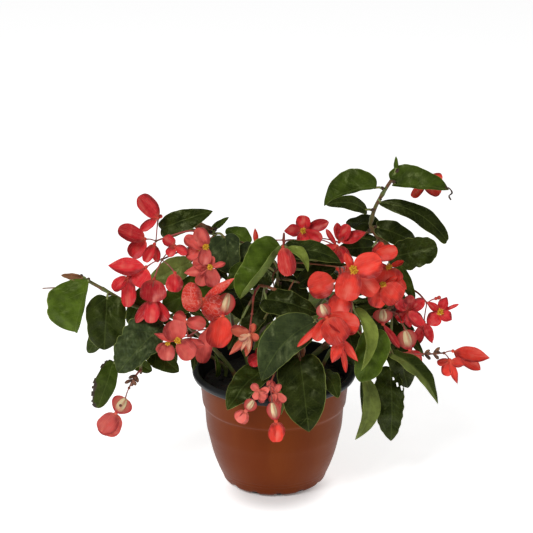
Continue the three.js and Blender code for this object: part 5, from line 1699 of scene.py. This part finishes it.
soilLook = {
    "top": 101.0,               # mm above the surface that the pot stands on
    "bottom": 2.6,
    "radius": 69.6,             # mm at the top
    "wall": ((68.0, 81), (65.9, 78.6), (62.5, 47.8), (52.3, 13), (46.5, 2.6)),  # radius and height, down
    "gap": 0.3,                 # mm to the wall
    "facets": 120,
    "rings": 34,
    "crumbs": 420,
    "crumbSize": (0.7, 2.6),    # mm
    "crumbReach": 66,           # mm from the axis
    "tones": ("#1d140e", "#2a1c12", "#120d09", "#3a281a"),
    "grit": "#8d8578",
}


def soilHeight(x, y):
    # low mounds and small lumps
    mounds = 1.3 * np.sin(x / 13 + 1.2) * np.cos(y / 11) + 0.8 * np.sin(x / 5.1 + y / 6.3)
    lumps = 0.5 * np.sin(x / 1.9 + 2 * np.sin(y / 2.7)) * np.sin(y / 2.2 + x / 7)
    return soilLook["top"] + 1.0 + mounds + lumps


def makeSoil():
    # rings of a lumpy top, then the wall down the pot and the flat bottom
    facets = soilLook["facets"]
    gap = soilLook["gap"]
    turn = evenTurns(facets)
    radii = np.linspace(0, soilLook["radius"] - gap, soilLook["rings"] + 1)[1:]
    x = radii[:, None] * np.cos(turn)
    y = radii[:, None] * np.sin(turn)
    # the last 9 mm before the wall even out
    rim = np.clip((radii[:, None] - 60) / 9, 0, 1) ** 2
    top = np.stack([x, y, soilHeight(x, y) * (1 - rim) + (soilLook["top"] - 0.5) * rim], axis=-1)
    wall = np.array(soilLook["wall"])
    side = wall[:, :1] - gap
    skirt = np.stack([side * np.cos(turn), side * np.sin(turn), wall[:, 1:] + 0 * turn], axis=-1)
    body = np.vstack([top, skirt])
    points = np.vstack([[0, 0, soilHeight(0, 0)], body.reshape(-1, 3), [0, 0, soilLook["bottom"]]])
    parts = [part(points, *ringFaces(len(body), facets), soilLook["tones"][0])]
    small, large = soilLook["crumbSize"]
    for k in range(soilLook["crumbs"]):
        away = soilLook["crumbReach"] * math.sqrt(dice.random())
        angle = 2 * np.pi * dice.random()
        spot = np.array([away * math.cos(angle), away * math.sin(angle), 0])
        spot[2] = soilHeight(spot[0], spot[1])
        size = small + (large - small) * dice.random() ** 2
        tone = soilLook["grit"] if k % 47 == 0 else soilLook["tones"][k % 4]
        crumb = ball(np.zeros(3), 1.0, tone, 4, 6)
        form = size * (0.6 + 0.7 * dice.random(3)) * [1, 1, 0.7]
        rough = 0.8 + 0.4 * dice.random((len(crumb["points"]), 1))
        crumb["points"] = crumb["points"] * form * rough + spot
        parts.append(crumb)
    makePiece("Soil", parts, [moistPeat], ["soil"])


makePot()
makeSoil()
print("pot and soil made")


# Floor and light

stageLook = {
    "floor": "#f6f6f6",
    "glow": 0.73,           # the paper is lit through from below
    "front": (-1.5, -0.15),  # weaker in front of the plant: metres where the glow begins and is full
    "foot": (0.0, -0.034),  # metres: round this place the glow is weaker, a painted shadow at the pot's foot, by the share and out to the reach below
    "paintedShadow": 0.62,
    "reach": (0.067, 0.02),
    "half": 6.0,            # metres
    "sky": 0.2,             # grey room
    "lamps": {              # place and size in metres, and watts
        "key": ((-0.9, -1.3, 1.8), 0.8, 30.0),
        "fill": ((1.5, -0.9, 1.0), 1.4, 4.0),
    },
    "aim": (0, 0, 0.15),    # metres: the lamps point at it
}


def makeStage():
    # white paper that glows less round the pot's foot, which paints a shadow there, and far in front of it,
    # a grey room and two lamps
    half = stageLook["half"]
    mesh = bpy.data.meshes.new("floor")
    corners = [(-half, -half, 0), (half, -half, 0), (half, half, 0), (-half, half, 0)]
    mesh.from_pydata(corners, [], [(0, 1, 2, 3)])
    floor = putIn("floor", mesh)
    paper, tree, shader = newMaterial("studio paper")
    spot = add(tree, "TexCoord").outputs["Object"]
    away = add(tree, "VectorMath", {0: spot, 1: (*stageLook["foot"], 0)}, operation="DISTANCE")
    ahead = add(tree, "SeparateXYZ", {0: spot}).outputs[1]
    # the glow, which fades far in front, less a painted shadow round the pot's foot
    levels = [
        add(tree, "MapRange", {0: value, 1: none, 2: full, 4: most}, interpolation_type="SMOOTHSTEP")
        for value, (none, full), most in (
            (ahead, stageLook["front"], stageLook["glow"]),
            (away, stageLook["reach"], stageLook["paintedShadow"]),
        )
    ]
    feed(tree, shader, {
        "Base Color": linear(stageLook["floor"]),
        "Roughness": 0.9,
        "Specular IOR Level": 0.1,
        "Emission Color": (1, 1, 1, 1),
        "Emission Strength": add(tree, "Math", dict(enumerate(levels)), operation="SUBTRACT"),
    })
    mesh.materials.append(paper)
    world = bpy.data.worlds.new("studio")
    world.use_nodes = True
    sky = world.node_tree.nodes["Background"]
    sky.inputs[0].default_value = (1, 1, 1, 1)
    sky.inputs[1].default_value = stageLook["sky"]
    bpy.context.scene.world = world
    bpy.context.scene.view_settings.view_transform = "Standard"
    for name, (place, size, power) in stageLook["lamps"].items():
        lamp = bpy.data.lights.new(name, "AREA")
        lamp.size = size
        lamp.energy = power
        holder = putIn(name, lamp)
        x, y, z = np.array(stageLook["aim"]) - np.array(place)
        holder.location = place
        holder.rotation_euler = (math.atan2(math.hypot(x, y), -z), 0, math.atan2(-x, y))


makeStage()
print("stage lit")
